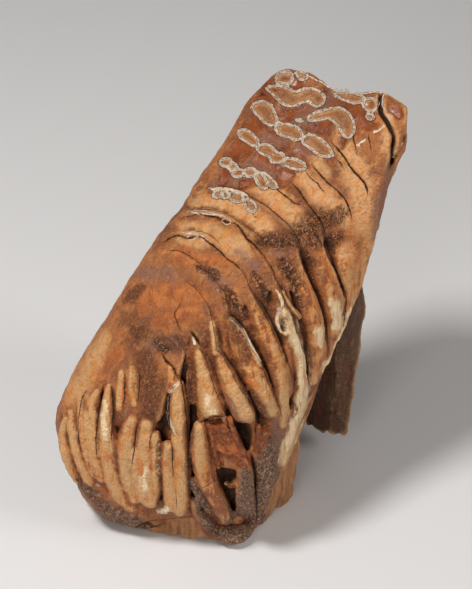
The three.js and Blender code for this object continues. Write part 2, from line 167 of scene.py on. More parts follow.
# Fingers: places down the crest with the radius in mm there, how far in mm the crest stands over the crown,
# and how pale the finger is from its tip down. A low one may pass the crown and end over the floor.
FINGERS = {
    "cheek_1": finger("198,353,2.6 201,366,4 204,380,5.4 207,395,6.6 210,411,7", 0.6, (0.45, 0.6, 0.9, 1)),
    "cheek_1_slope": finger("191,362,2.4 190,380,3.6 193,402,4.2", -2.2, (0.05, 0.2)),
    "cheek_2_upper": finger("212,322,1.6 213,336,2.6 216,352,3", 0.2, (0.5, 0.75)),
    "cheek_2": finger(
        "220,361,2.8 226,374,4 233,388,5 241,402,5.6 247,416,5.6", 0.6, (0.3, 0.55, 0.95, 0.9)),
    "cheek_3": finger(
        "230,321,2.6 236,334,4.2 242,350,5.2 250,366,5.8 259,382,5.8 267,397,5.4 274,412,4.4",
        0.5, (0.1, 0.15, 0.25, 0.35, 0.7, 0.9)),
    "cheek_3_edge": finger("243,330,1.1 250,345,1.5 257,359,1.5 261,366,0.9", 0.2, (0.8, 0.7)),
    "cheek_4": finger(
        "253,304,2.8 261,318,4.2 268,334,4.8 276,350,5 282,368,4.8 285,390,4.4 286,412,3.8 283,425,2.6",
        0.5, (0.2, 0.25, 0.35, 0.4, 0.6, 0.95, 1)),
    "cheek_5": finger(
        "286,316,3.2 292,331,4 299,348,3.8 303,365,3.3 303,382,3.3 301,398,3.2 297,412,3", 0.8, (1.1, 1.1)),
    "cheek_5_rim": finger(
        "277,291,0.8 281,297,1 283,305,1 279,312,1 277,321,1.1 280,330,1.1 286,335,0.8", 0.6, (1.3, 1.3)),
    "cheek_5_behind": finger("293,350,3 295,366,3.6 294,380,3.2", -1.6, (0.15, 0.2)),
    "cheek_5_foot": finger("300,414,3.4 293,432,3.2 286,448,2.6 281,463,1.4", -0.4, (1.1, 1.1)),
    "cheek_6": finger(
        "300,279,3.6 307,296,4.4 313,314,4.8 318,329,4.8 319,346,4.4 318,365,3.8 315,381,2.8",
        0.6, (0.25, 0.3, 0.35, 0.4, 0.4, 0.5, 0.5)),
    "cheek_6_edge": finger("283,292,1 291,307,1.3 301,317,1", 0.2, (0.9, 0.9)),
    "cheek_7": finger(
        "322,270,3.4 330,290,3.8 336,305,3.8 338,325,3.8 334,345,3.2 328,362,2.4",
        0.8, (0.15, 0.35, 0.95, 0.9, 0.5, 0.5)),
    "cheek_8": finger("345,262,3.5 352,283,3.8 352,303,3.4 345,325,2.6", 0.4, (0.2, 0.4, 0.5)),
    "cheek_9": finger(
        "366,250,3 365,268,3.6 361,285,3.8 355,300,3.4 347,318,2.8 339,338,2.6",
        0.6, (0.3, 0.35, 0.9, 0.95)),
    "near_1": finger("66,418,1.6 62,430,2.8 62,446,3.2 67,464,3.2 76,480,2.4", 1.3, (0.6, 0.7, 0.3)),
    "near_2": finger("71,412,2 71,428,3.6 74,446,4 80,464,4.2 88,482,3.8", 1.2, (0.6, 0.8, 0.5)),
    "near_2_inner": finger("80,402,1.6 80,420,2.6 83,440,3 88,458,3.2 94,474,3", 1, (0.5, 0.6, 0.4)),
    "near_3": finger(
        "97,391,2 91,402,3.4 88,420,4.2 89,440,4.6 94,460,4.6 101,478,3.8", 1.2, (0.6, 0.75, 0.7, 0.5)),
    "near_3_small": finger("94,411,1.8 93,425,2.2 93,440,2.4 95,455,2.2", 1.3, (0.5, 0.6)),
    "near_4": finger(
        "109,386,1.6 106,400,2.8 105,415,3.6 105,430,4.8 106,446,5.8 108,464,5.6 112,482,5.6 119,497,5.2 "
        "130,508,3.8", 1.4, (0.45, 0.9, 0.85, 0.7, 0.8, 0.6)),
    "near_5": finger("121,372,1.8 120,386,2.5 119,400,2.7 119,409,2.2", 0.4, (0.7, 0.65)),
    "near_6": finger("132,368,2.2 133,381,3.2 134,395,3.4 134,403,2.8", 0.4, (0.55, 0.6)),
    "pillar_a1": finger(
        "132,420,3.6 128,432,4.8 125,446,4.8 125,465,4.8 128,484,4.8 135,499,3.8",
        1.6, (0.7, 0.75, 0.95, 0.8)),
    "pillar_a2": finger("146,425,4 145,440,5 144,460,6 145,482,6.2 148,501,4.8", 2, (0.75, 0.9, 0.9)),
    "pillar_a3": finger("155,436,2.6 156,450,3.2 156,470,3.7 154,490,3.9 151,504,3.3", 1.7, (0.7, 0.85)),
    "pillar_a_body": finger("133,452,4.4 136,474,5.6 141,497,5.2", 1.7, (0.95, 1)),
    "pillar_b1": finger("167.5,446,2.5 167,462,3.3 168,485,3.5 170,508,3.3", 1.6, (0.75, 0.8)),
    "pillar_b2": finger("177,440,3.5 180,453,4.4 181,470,4.7 181,493,4.9 180,512,4.3", 1.8, (0.8, 0.75)),
    "pillar_b_body": finger("172,462,3.6 174,486,4.6 175,508,4.4", 1, (0.85, 0.8)),
    "pillar_b3": finger("177,386,2.8 177,400,4.4 177.5,415,4.8 178,430,4.6 180,443,3.6", 0.8, (0.75, 0.85)),
    "pillar_b4": finger("170,368,1.6 171,378,2.2 168,390,2.2", 0.4, (0.4, 0.4)),
    "pillar_c": finger(
        "199,427,2.8 199,442,4.4 200,460,5 204,478,5.2 211,493,4.8 219,508,4.4 227,521,3.6",
        1.6, (1.05, 0.85, 0.5, 0.1, 0)),
    "pillar_d1": finger("192,481,1.6 196,490,2.2 201,501,2.4 208,511,2.4", 0.8),
    "pillar_d2": finger("195,503,2.2 197,514,2.8 203,522,3 213,529,3.2", 1.2, low=True),
    "base_hook": finger(
        "205,521,2.8 213,528,4 224,534,4.6 236,535,5 245,527,5 248,510,4.6 247,490,4.3 246,475,3.8 "
        "244,463,2.6", 2.2, low=True),
    "base_column": finger("266,438,4.4 268,455,5.6 268,475,6 266,495,5.4 262,511,4.4 260,521,3.6", 1.6),
    "loose_chip": finger("158,511,1.2 165,511,1.5", 0.6, (1.2, 1.2)),
    "filling": finger("214,424,4 222,436,5 231,450,4.6 239,461,3.4", -1),
    "filling_arch_1": finger("211,435,1.5 214,446,1.6 222,452,1.8 229,456,1.5", -0.2),
    "filling_arch_2": finger("213,447,1.2 216,459,1.3 218,468,1", -0.2),
    "drip": finger("259,428,1.6 260,440,2.6 257,449,2", 0.4),
    "hollow_knob": finger("225,489,1.3 231,492,1.7 237,485,1.4", -2.4, (0.3, 0.9)),
    "filling_edge": finger("229,420,1.3 234,434,1.5 240,449,1.6 247,461,1.7 240,469,1.6", 0),
}
# Lines on the crown: edges between plates, lips and cracks. cut is a groove's depth and half width in mm.
# A third number at each place is a drop in mm: the skin steps down by it beyond the line (before it, where
# negative) and climbs back over reach pixels. rim is a raised edge before the line: its height in mm and its
# width in pixels.
LINES = {
    "edge_0": furrow(
        "188,347,0.5 186,356,1.2 184,366,1.6 180,376,2 183,390,3 185,405,3.5 187,420,4 188,440,4 "
        "189,465,4 190,505,2", cut=(1.6, 0.7), reach=20),
    "edge_1": furrow(
        "198,345,0 203,352,1 208,365,2.5 212,380,4 216,392,4.5 220,402,5 224,411,5.5 229,425,5 234,440,3 "
        "240,455,1", cut=(0.4, 0.7), reach=25),
    "edge_2": furrow(
        "184,279,0.5 191,285,0.8 198,291,1 203,298,1 208,305,1.2 212,318,1.8 215,335,2.4 217,350,2.6 "
        "222,355,3 229,367,4 238,385,5 246,396,5.5 253,405,6 256,418,6 256,430,3 255,445,0",
        cut=(0.3, 0.7), reach=26),
    "edge_3": furrow(
        "213,276,0 219,285,0.8 225,292,1.5 228,305,2.2 229,317,2.6 236,322,3.4 243,330,4 249,345,5 "
        "258,358,5 262,365,5 266,375,5 271,388,4.5 276,400,3.5 281,412,2 283,425,0",
        cut=(0.3, 0.7), reach=27),
    "edge_4": furrow(
        "240,269,0.3 246,276,0.8 250,288,1.5 256,300,2.6 264,310,3.6 270,325,4.5 277,340,5 284,352,4.6 "
        "289,365,4 293,378,3 293,395,2.5 293,415,2 292,425,0", cut=(0.5, 0.6), reach=22),
    "edge_5": furrow(
        "263,254,0.2 268,262,0.4 273,270,0.7 276,278,1 281,290,2 286,304,3 291,312,3 295,325,3 300,340,3 "
        "305,355,3 308,368,2.5 309,385,2 309,400,0", cut=(1, 0.6), reach=15),
    "edge_5_thin": furrow(
        "280,274,0 285,290,2 291,303,3 300,316,2.4 306,330,1 309,345,0", cut=(0.3, 0.6), reach=14),
    "edge_6": furrow(
        "296,240,0.4 300,250,2 303,262,4 308,273,3.5 313,287,3 319,300,2.6 324,315,2.2 327,325,1.8 "
        "328,345,1.2 326,360,0", cut=(1.6, 0.8), reach=17),
    "edge_7": furrow(
        "322,230,0.5 326,243,3 329,254,3 334,265,2.6 339,278,2.2 345,290,1.8 346,300,1.5 345,315,1.2 "
        "342,330,0", cut=(1.8, 0.8), reach=15),
    "crown_foot": furrow("318,386,0 305,408,4 297,430,8 288,460,9 281,490,8 273,512,5 264,527,2", reach=60),
    "left_plate": furrow("60,408,0 65,418,-1.6 66,430,-2.4 69,450,-2.4 76,468,-2 86,484,0", reach=9),
    "left_seam": furrow("88,388 82,398 80,410 78,425 78,440 82,456", cut=(0.8, 0.6)),
    "left_gap": furrow("104,383 102.5,392 101,402 99,415 97,428 95.5,445 98,462", cut=(1.8, 0.7)),
    "thin_finger_edge": furrow(
        "112,384,0 113,395,0.8 114,408,1.6 113,418,1.4 111,430,0.8 112,445,0", cut=(1.4, 0.6), reach=8),
    "thin_finger_2": furrow("124,369,0 125,380,0.7 125,395,0.7 123,410,0", cut=(0.9, 0.6), reach=5),
    "thin_finger_3": furrow("138,366,0 139.5,380,0.7 139,395,0.8 137,406,0", cut=(0.7, 0.6), reach=7),
    "pillar_a_left": furrow(
        "124,424,0 120,434,-1.8 117.5,448,-2 117.5,468,-2.2 119,486,-2 126,499,-0.5", reach=9),
    "pillar_a_seam_1": furrow("139,420 136.5,430 134.5,441 133,455 131,470", cut=(2, 0.6)),
    "pillar_a_seam_2": furrow("152,432 150.5,441 149.5,452", cut=(1.8, 0.5)),
    "pillar_b_seam": furrow("170,440 172.5,450 173,465 173,480", cut=(2, 0.5)),
    "pillar_b_grain": furrow("175,485 177,500 176,513", cut=(0.7, 0.4)),
    "shed_edge": furrow("179,381 173,389 167.5,398 168,410 168,421 171,429 176,434", cut=(0.9, 0.5)),
    "crack_over_tip": furrow("162,353 165,359 168,362.5 172,365 174.5,370 176,376 179,380", cut=(1.8, 0.6)),
    "crack_by_chip": furrow("190,331 194,336 198,341 201,347", cut=(2.4, 0.8)),
    "crack_by_chip_2": furrow("191,334 189.5,340 189,347", cut=(1, 0.5)),
    "dome_crack": furrow("182,300 178,307 174,314 177,320 178,326 183,334", cut=(0.7, 0.45)),
    "cheek_2_split": furrow("213,359 216,357 218,352", cut=(1.2, 0.5)),
    "pillar_c_split": furrow("200,489 205,487 210,484 214,480 217,481", cut=(1.4, 0.5)),
    "cheek_1_foot": furrow("196,420 203,422 209,418 217,416 226,416", cut=(2.4, 0.8)),
    "lip_g": furrow(
        "208,188,0.2 220,187,0.6 230,187,0.8 240,190,0.8 250,196,0.7 262,203,0.5 270,209,0.4 279,216,0.4 "
        "290,226,0.3", cut=(0.4, 0.5), rim=(0.7, 5), reach=16),
    "lip_h": furrow(
        "186,211,0.3 195,209,0.9 205,209,1 215,210,1 224,213,1 232,217,0.9 240,222,0.8 248,228,0.6 "
        "256,233,0.4 268,243,0", cut=(0.4, 1), rim=(0.7, 5), reach=16),
    "lip_i": furrow(
        "178,231,0.3 192,230,0.9 202,231,0.9 208,234,0.8 215,239,0.4 222,246,0",
        cut=(0.4, 0.7), rim=(0.7, 5), reach=14),
    "lip_j": furrow(
        "166,251,0.2 175,250,0.5 183,252,0.6 190,256,0.6 197,261,0.5 205,268,0",
        cut=(0.5, 0.5), rim=(0.4, 4), reach=9),
    "chain_h": furrow(
        "196,211 200,214 205,215 210,217 216,217 221,220 226,222 231,222 236,224 240,229 243,235 248,241 "
        "256,246 263,254 268,262 273,270 276,278", cut=(1.2, 0.5)),
    "chain_h_left": furrow("180,219 186,216 192,216 198,212", cut=(0.6, 0.5)),
    "chain_i": furrow(
        "161,243 167,240 173,237 180,236 186,238 191,239 196,235 201,236 206,240 210,244 214,246 218,250 "
        "223,254 228,259 234,263 240,269 246,275", cut=(1.2, 0.5)),
    "chain_j": furrow("190,264 197,266 203,270 210,273 213,276", cut=(0.9, 0.7)),
    "crack_g_tail": furrow("252,212 254,217 262,219", cut=(0.6, 0.4)),
    "crack_gd": furrow("262,203 271,210 280,217 287,223 293,231 299,242 303,250", cut=(0.85, 0.39)),
    "crack_gc_loop": furrow("268,182 273,187 280,192 287,197 295,203 304,206", cut=(1.19, 0.39)),
    "crack_gc": furrow("290,181 297,189 304,199 311,208 318,217 323,226 326,236", cut=(1.36, 0.39)),
    "crack_gc_left": furrow("309,218 312,228 316,236 321,242 322,250", cut=(0.77, 0.39)),
    "crack_gb": furrow("311,163 317,171 325,181 333,187 340,193 346,201 350,209 353,224", cut=(1.36, 0.39)),
    "crack_gb_left": furrow("305,170 309,176 314,181 319,184 322,190 326,193", cut=(0.85, 0.33)),
    "crack_ga": furrow("330,140 338,149 345,158 350,167 356,174 362,180 367,186 368,196", cut=(1.61, 0.45)),
    "crack_ga_left": furrow("334,157 339,161 343,167 346,172", cut=(1.02, 0.33)),
    "crack_right": furrow("353,130 353,138 356,146 357,157", cut=(1.19, 0.33)),
    "crack_right_2": furrow("368,133 370,142 372,151", cut=(1.19, 0.33)),
    "crack_block": furrow(
        "384,90 381,98 380,106 382,114 387,122 392,131 394,139 392,149 393,158 389,168", cut=(4, 1.2)),
    "hook_groove": furrow("250,452 255,470 256,490 257,510 256,528", cut=(3.2, 0.9)),
}
# Hollows cut before the fingers are set in: places with the radius in mm there, and how deep in mm under the
# crown their middle lies.
HOLLOWS = {
    "beside_cheek_1": hollow("188,395,1.2 189,415,2.4 190,440,3.2 190,465,3 189,490,2.2", 5),
    "between_pillars": hollow("161,434,2.2 161,460,2.4 161,485,2.2 160,504,1.8", 4),
    "over_pillars": hollow("155,418,2.4 162,426,3.4 168,430,2.6", 4.5),
    "under_cheek_2": hollow("231,419,3 238,430,4.8 245,443,4.8 249,451,3", 5),
    "rimmed_hole": hollow("263,432,2 265,438,2.4", 2.4),
    "over_ring": hollow("262,411,1.8 267,423,2.4", 2.4),
    "under_filling": hollow("219,474,3 228,478,4.4 236,477,3.2", 4.5),
    "inside_hook": hollow("224,482,4 229,496,4.4 232,509,3.2 234,519,1.6", 4.5),
    "cheek_2_to_3": hollow("228,338,1.4 234,358,1.8 243,380,2 253,400,2.2 264,418,2.4", 2.2),
    "cheek_3_to_4": hollow("247,308,1.4 254,330,1.8 261,350,2 271,375,2 280,395,2", 2.2),
    "cheek_4_to_5": hollow("270,290,1.2 277,315,1.8 284,338,2 290,360,1.6", 2.2),
    "cheek_slit": hollow("295,398,1.6 296,412,1.7 296,420,1.3", 3),
    "cheek_5_to_6": hollow("294,292,1.2 301,312,1.4 308,332,1.4 311,352,1.6 311,376,1.4", 2.6),
    "cheek_6_to_7": hollow("307,263,2.4 314,280,1.8 323,300,1.6 328,322,1.6 327,345,1.5", 2.6),
    "cheek_7_to_8": hollow("328,244,2.2 334,263,1.6 342,282,1.5 346,305,1.5 342,330,1.4", 2.4),
    "pits_6": hollow("305,255,1.6 309,268,2", 1.2),
    "pits_7": hollow("328,240,1.4 332,253,1.8", 1.2),
    "over_root": hollow("146,531,3.4 160,532,5.4 178,532,6 197,530,4.6", 0.2),
    "near_3_to_4": hollow("101,394,1 98.5,408,1.5 97,425,1.3 96,440,0.8", 2.2),
    "near_4_to_a": hollow("115,430,0.8 117,448,1.4 117,468,1.6 120,486,1.6 130,502,1.2", 2.6),
}
# Hollows cut into the finished fingers.
BREAKS = {
    "cheek_5_socket": hollow("281,311,1.3 282,321,1.6 284,330,1.2", 0.4),
    "cheek_1_end": hollow("208,424,1.8 218,424,1.8", 2),
}

# Enamel loops on the chewing surface, as places round each loop.
LOOPS = {
    "far_1": spots("278,75 282,72 289,71 293,75 292,81 289,84 282,83 277,83 275,80"),
    "far_2": spots("297,72 304,72 308,75 306,79 301,80 297,76"),
    "far_3": spots("334,94 342,92 353,93 364,96 362,102 353,103 342,99 335,96"),
    "far_4": spots("365,99 372,98 379,102 377,108 373,111 368,111 363,107 364,103"),
    "far_5": spots("367,114 372,114 375,118 371,120 367,118.5"),
    "second": spots(
        "266,88 272,86 282,86 290,89 296,93 302,89 310,88 318,90 325,96 324,103 318,107 313,106 309,101 "
        "302,102 296,106 288,106 280,102 274,95 268,91"),
    "third_1": spots("251,107 256,102 264,101 272,106 275,114 278,121 274,126 267,124 261,119 254,112"),
    "third_2": spots(
        "307,119 312,114 321,111 331,108 341,108 349,113 353,120 355,128 353,134 349,138 344,136 339,128 "
        "333,120 326,118 318,120 310,121"),
    "third_bead": spots("296,120 302,118.5 303,120.5 298,122.5"),
    "fourth_1": spots("275,128 280,124 290,124 298,128 302,133 302,138 296,141 290,137 283,136 278,134"),
    "fourth_2": spots("302,139 309,134 317,137 325,142 331,150 333,155 326,157 317,154 309,147 303,143"),
    "fifth_1": spots("238,131 245,129 253,134 259,142 258,146 253,146 245,141 239,136"),
    "fifth_2": spots(
        "257,147 264,144 272,146 275,152 283,154 285,158 280,163 272,162 269,156 262,154 258,151"),
    "fifth_3": spots("282,162 288,158 298,160 305,164 305,169 298,170 288,167 283,165"),
    "sixth_1": spots("219,162 224,158.5 230,159 232,163 228,167 222,166"),
    "sixth_2": spots("228,167 233,163 238,166 236,169 231,171"),
    "sixth_3": spots("231,172 236,169 242,170 244,174 240,177 234,177"),
    "sixth_4": spots("244,171 248,168 254,169 257,173 252,177 246,176"),
    "sixth_5": spots("255,174 260,172 264,177 268,183 267,188 262,189 257,183"),
    "sixth_6": spots("262,172 268,175 274,181 278,187 273,189 268,183 264,177"),
    "seventh_1": spots("213,193 217,190 221,191 222,196 218,198 214,197"),
    "seventh_2": spots("222,194 226,191 229,194 229,198 224,199"),
    "seventh_3": spots("229,195 233,192 240,194 244,198 241,202 235,202 230,199"),
    "seventh_4": spots("244,200 249,199 255,203 257,208 253,213 248,210 245,204"),
}
# Enamel that isn't a loop: the half width in mm of each thin rim, and places along it.
RIMS = {
    "far_edge": (0.36, spots(
        "300,71 306,74 312,78 319,81 325,85 332,89 340,90 348,90 356,93 366,94 374,92 381,91")),
    "lip_g": (0.24, spots("209,189 216,188 224,188 232,189 240,192 247,196 254,202 257,208")),
    "lip_h": (0.2, spots("187,212 195,210.5 203,211 210,212.5 218,215 226,217 232,221")),
    "bead_h": (0.26, spots("222,221 225,218 230,219 232,222 229,225 224,224 222,221")),
    "lip_i": (0.16, spots("182,233 190,233 197,233 203,236 208,240")),
    "bead_i": (0.26, spots("187,238 190,235 196,234 199,237 194,240 188,240")),
    "shed_edge": (0.17, spots("179,382 172,390 167.5,398 168,410 168,420 171,428 176,434")),
    "block_edge": (0.3, spots("384,92 383,98 382,104 385,110 388,116 391,121")),
}

CRISP_STAINS = ("white", "spots", "resin")
# Stains and polish, as strokes on the side that the camera sees: places and half width in pixels. Some dark
# strokes lie in gaps and hollows and are painted shade; mauve is partly painted sheen.
STAINS = {
    "polish": strokes(
        "268,84,10 262,105,14 255,125,14 240,150,14 228,172,11 222,182,6 / 295,85,14 300,108,18 "
        "285,130,16 270,150,16 256,175,13 245,184,6 / 330,98,12 325,125,18 310,150,13 290,172,11 "
        "276,184,7 / 350,105,14 352,125,12 342,146,5 / 365,108,12 368,122,8 / 392,98,9 397,116,6"),
    # On the worn chewing surface and the dome the mauve is partly painted sheen; elsewhere it is the tooth's
    # own purple-brown.
    "mauve": strokes(
        "335,92,5 322,108,7 300,122,9 285,146,6 262,138,7 / 300,152,6 318,156,4 / 268,172,8 248,166,5 / "
        "212,184,5 236,182,6 / 206,272,7 222,284,9 / 140,272,8 170,274,7 / 175,342,9 150,346,6 / "
        "238,250,6 256,268,7 / 270,236,6 285,262,5 / 276,405,4 280,422,6 278,442,6 / 229,398,3 240,414,5 "
        "250,432,5 / 262,398,3 270,414,4 / 206,492,6 217,508,7 226,520,5 / 58,420,2 62,446,3 72,472,3 / "
        "210,486,5 221,506,6 229,522,5 / 393,150,4 386,178,6 380,203,7 375,235,5"),
    "orange": strokes(
        "150,300,15 178,292,14 200,296,9 / 178,256,8 205,262,8 228,262,7 / 160,322,9 196,312,8 / "
        "303,272,6 312,295,7 319,318,7 322,365,6 / 318,248,8 330,270,6 338,292,6 / 345,250,12 355,275,10 "
        "352,296,6 / 392,96,8 397,118,5 / 360,125,7 378,118,5 / 340,140,6 356,165,7 / 250,378,5 "
        "257,385,6 / 293,352,5 296,376,5 / 170,384,5 / 284,368,4 / 212,375,2 222,372,4 / 100,372,9 "
        "118,352,9 / 112,395,2 113,412,2 / 80,410,2 79,440,2.4 / 145,215,8 120,300,7 / 288,176,5 "
        "268,190,4 / 146,436,4 / 383,180,6 377,205,7 / 64,440,9 84,466,14 108,484,14 / 120,440,8 "
        "160,470,12 178,490,9 / 112,395,8 136,392,8"),
    "spots": strokes(
        "139,461,3.4 140,474,2.8 / 153,466,3.4 / 166,464,3.4 / 179,463,3.4 / 183,471,2.2 / 136,497,2.8 / "
        "148,500,2.4 / 250,380,3 257,386,4 / 106,458,3 113,457,2 / 110,492,2.4"),
    "cream": strokes(
        "192,203,5 214,205,5 232,209,5 252,220,6 / 184,225,5 210,228,6 230,236,7 244,247,5 / 284,193,3 "
        "283,203,4 294,213,4 / 316,160,6 326,174,6 / 182,241,4 202,246,4 / 106,336,6 95,356,9 84,378,11 "
        "76,396,12 / 70,425,4 76,450,5 / 350,170,5 360,200,5 / 140,455,6 142,490,8 / 86,412,4 90,440,6 "
        "97,468,5 / 166,470,4 172,500,5 / 67,432,4 76,458,5 88,478,4 / 104,452,4 116,486,5"),
    "ivory": strokes(
        "282,310,4 290,326,8 298,344,7 304,365,6 304,390,6 301,408,6 / 300,414,6 292,434,6 285,450,5 "
        "281,463,3 / 318,331,4 322,336,5 321,346,3 / 332,301,3 338,311,5 337,326,4 / 354,303,3 348,318,3 "
        "341,338,3 335,352,3 322,372,3 / 144,470,4 144,490,5 / 104,400,2 104,428,3 105,438,3 / 207,398,4 "
        "211,412,4"),
    "porous": strokes(
        "145,360,10 150,388,14 152,412,9 / 163,344,9 182,345,9 / 160,425,6 / 262,240,8 288,240,9 "
        "312,222,13 340,212,8 / 318,240,10 338,236,8 / 140,334,8 / 128,300,5 141,287,4 / 192,362,4 "
        "189,388,5 190,412,4 / 226,290,5 232,312,7 238,335,7 246,360,5 / 218,330,3 221,350,4 / 256,278,5 "
        "264,296,7 268,316,5 / 284,262,6 293,282,6 302,305,4 / 206,345,4 207,335,4 / 250,392,4 260,408,5 "
        "/ 200,270,4 212,275,4"),
    "pits": strokes(
        "262,240,5 276,242,7 292,240,8 312,224,10 328,218,9 344,212,6 / 312,240,7 326,240,7 338,238,5 / "
        "229,292,4 235,303,6 243,318,5 / 256,276,4 264,290,6 269,308,4 / 282,262,5 291,276,6 299,298,4 / "
        "304,252,4 310,265,4 / 327,240,3 332,254,3 / 208,270,3 216,277,4 / 246,388,2 254,404,3 / "
        "160,344,4 166,350,4"),
    # The first five dark strokes are dark porous patches; the rest lie in gaps and hollows and are painted
    # shade.
    "dark": strokes(
        "231,296,2 237,306,4 243,316,3 / 262,286,3 268,300,3 / 284,266,3 292,282,4 300,300,2 / 304,252,4 "
        "307,266,4 / 327,240,3 332,252,3 / 188,420,4 189,450,4 190,490,4 / 161,436,4 160,500,2 / "
        "240,430,6 248,445,6 / 226,480,7 236,478,4 / 233,500,4 232,520,3 / 188,372,2 188,400,4 / "
        "294,404,1.6 296,418,1.6 / 285,318,2 286,328,2 / 266,436,2.4 / 262,418,3 268,425,3"),
    "grey": strokes(
        "76,478,2 88,492,5 103,509,8 126,521,8 150,527,5 / 192,482,4 198,503,6 207,524,7 224,536,8 "
        "240,538,9 251,526,8 249,495,9 246,472,6 / 271,440,6 268,470,13 264,500,12 259,526,8 / 243,478,3 "
        "242,498,4 238,518,6 228,529,5 / 268,452,8 272,470,8 / 196,492,4 206,510,4 217,526,5 / 258,462,4 "
        "255,500,5"),
    "tan": strokes(
        "338,130,8 352,160,14 362,190,16 366,225,12 / 390,115,6 386,145,7 / 300,176,10 320,195,14 "
        "345,215,12 / 262,190,10 288,208,12 300,225,10 / 205,200,10 240,208,12 265,228,10 / 190,232,10 "
        "225,240,10 246,256,8 / 372,230,9 368,255,9 362,280,8 / 345,250,8 350,280,8"),
    "white": strokes(
        "179,382,1.5 172,390,1.4 167.5,398,1.4 168,420,1.2 176,434,1 / 277,291,1.2 282,301,1.5 "
        "283,306,1.6 278,312,1.7 277,321,1.8 280,330,1.8 285,334,1.4 / 231,319,1 244,332,1.4 252,347,1.4 "
        "260,361,1.2 / 193,338,1.2 195,344,1.6 / 158,511,3 165,510,4 / 374,132,1 384,126,1 / 357,145,1 "
        "366,139,1 / 377,90,3 383,91,3 / 212,189,1 232,189,1.4 246,195,1.4 / 192,212,0.7 222,216,0.9 / "
        "186,233,0.7 203,236,0.8 / 98,485,2.2 / 118,512,1.6"),
    "resin": strokes(
        "214,424,9 224,438,11 234,452,10 243,463,6 / 229,420,4 238,444,5 246,462,4 / 212,437,4 216,452,5 "
        "220,466,5 / 226,488,3 234,488,3 / 258,412,1.6 258,428,3 260,441,6 257,450,4 / 262,428,1.8 "
        "269,432,2 269,440,2 262,444,2"),
}


# ---------------------------------------------------------------- small maths
def smooth_step(low, high, value):
    t = np.clip((value - low) / (high - low), 0, 1)
    return t * t * (3 - 2 * t)


def smooth_min(a, b, blend):
    h = np.clip(0.5 + 0.5 * (b - a) / blend, 0, 1)
    return b + (a - b) * h - blend * h * (1 - h)


def smooth_max(a, b, blend):
    return -smooth_min(-a, -b, blend)


def unit(vectors):
    return vectors / np.maximum(np.linalg.norm(vectors, axis=1, keepdims=True), 1e-9)


LATTICE = np.random.default_rng(7).uniform(-1, 1, (24, 24, 24)).astype(np.float32)


def lumps(points, wavelength):
    """Smooth random lumps, the same at every run."""
    scaled = np.asarray(points, np.float32) / wavelength
    base = np.floor(scaled).astype(int)
    t = scaled - base
    t = t * t * (3 - 2 * t)
    total = np.zeros(points.shape[:-1], np.float32)
    for corner in product((0, 1), repeat=3):
        weight = 1
        for axis, c in enumerate(corner):
            weight = weight * (t[..., axis] if c else 1 - t[..., axis])
        i, j, k = [(base[..., axis] + c) % len(LATTICE) for axis, c in enumerate(corner)]
        total += weight * LATTICE[i, j, k]
    return total


def eased(line, closed=False, times=1):
    """A line with its corners cut."""
    for _ in range(times):
        ahead = np.roll(line, -1, 0) if closed else line[1:]
        here = line if closed else line[:-1]
        cut = np.stack([0.75 * here + 0.25 * ahead, 0.25 * here + 0.75 * ahead], axis=1)
        cut = cut.reshape(-1, line.shape[1])
        line = cut if closed else np.concatenate([line[:1], cut, line[-1:]])
    return line


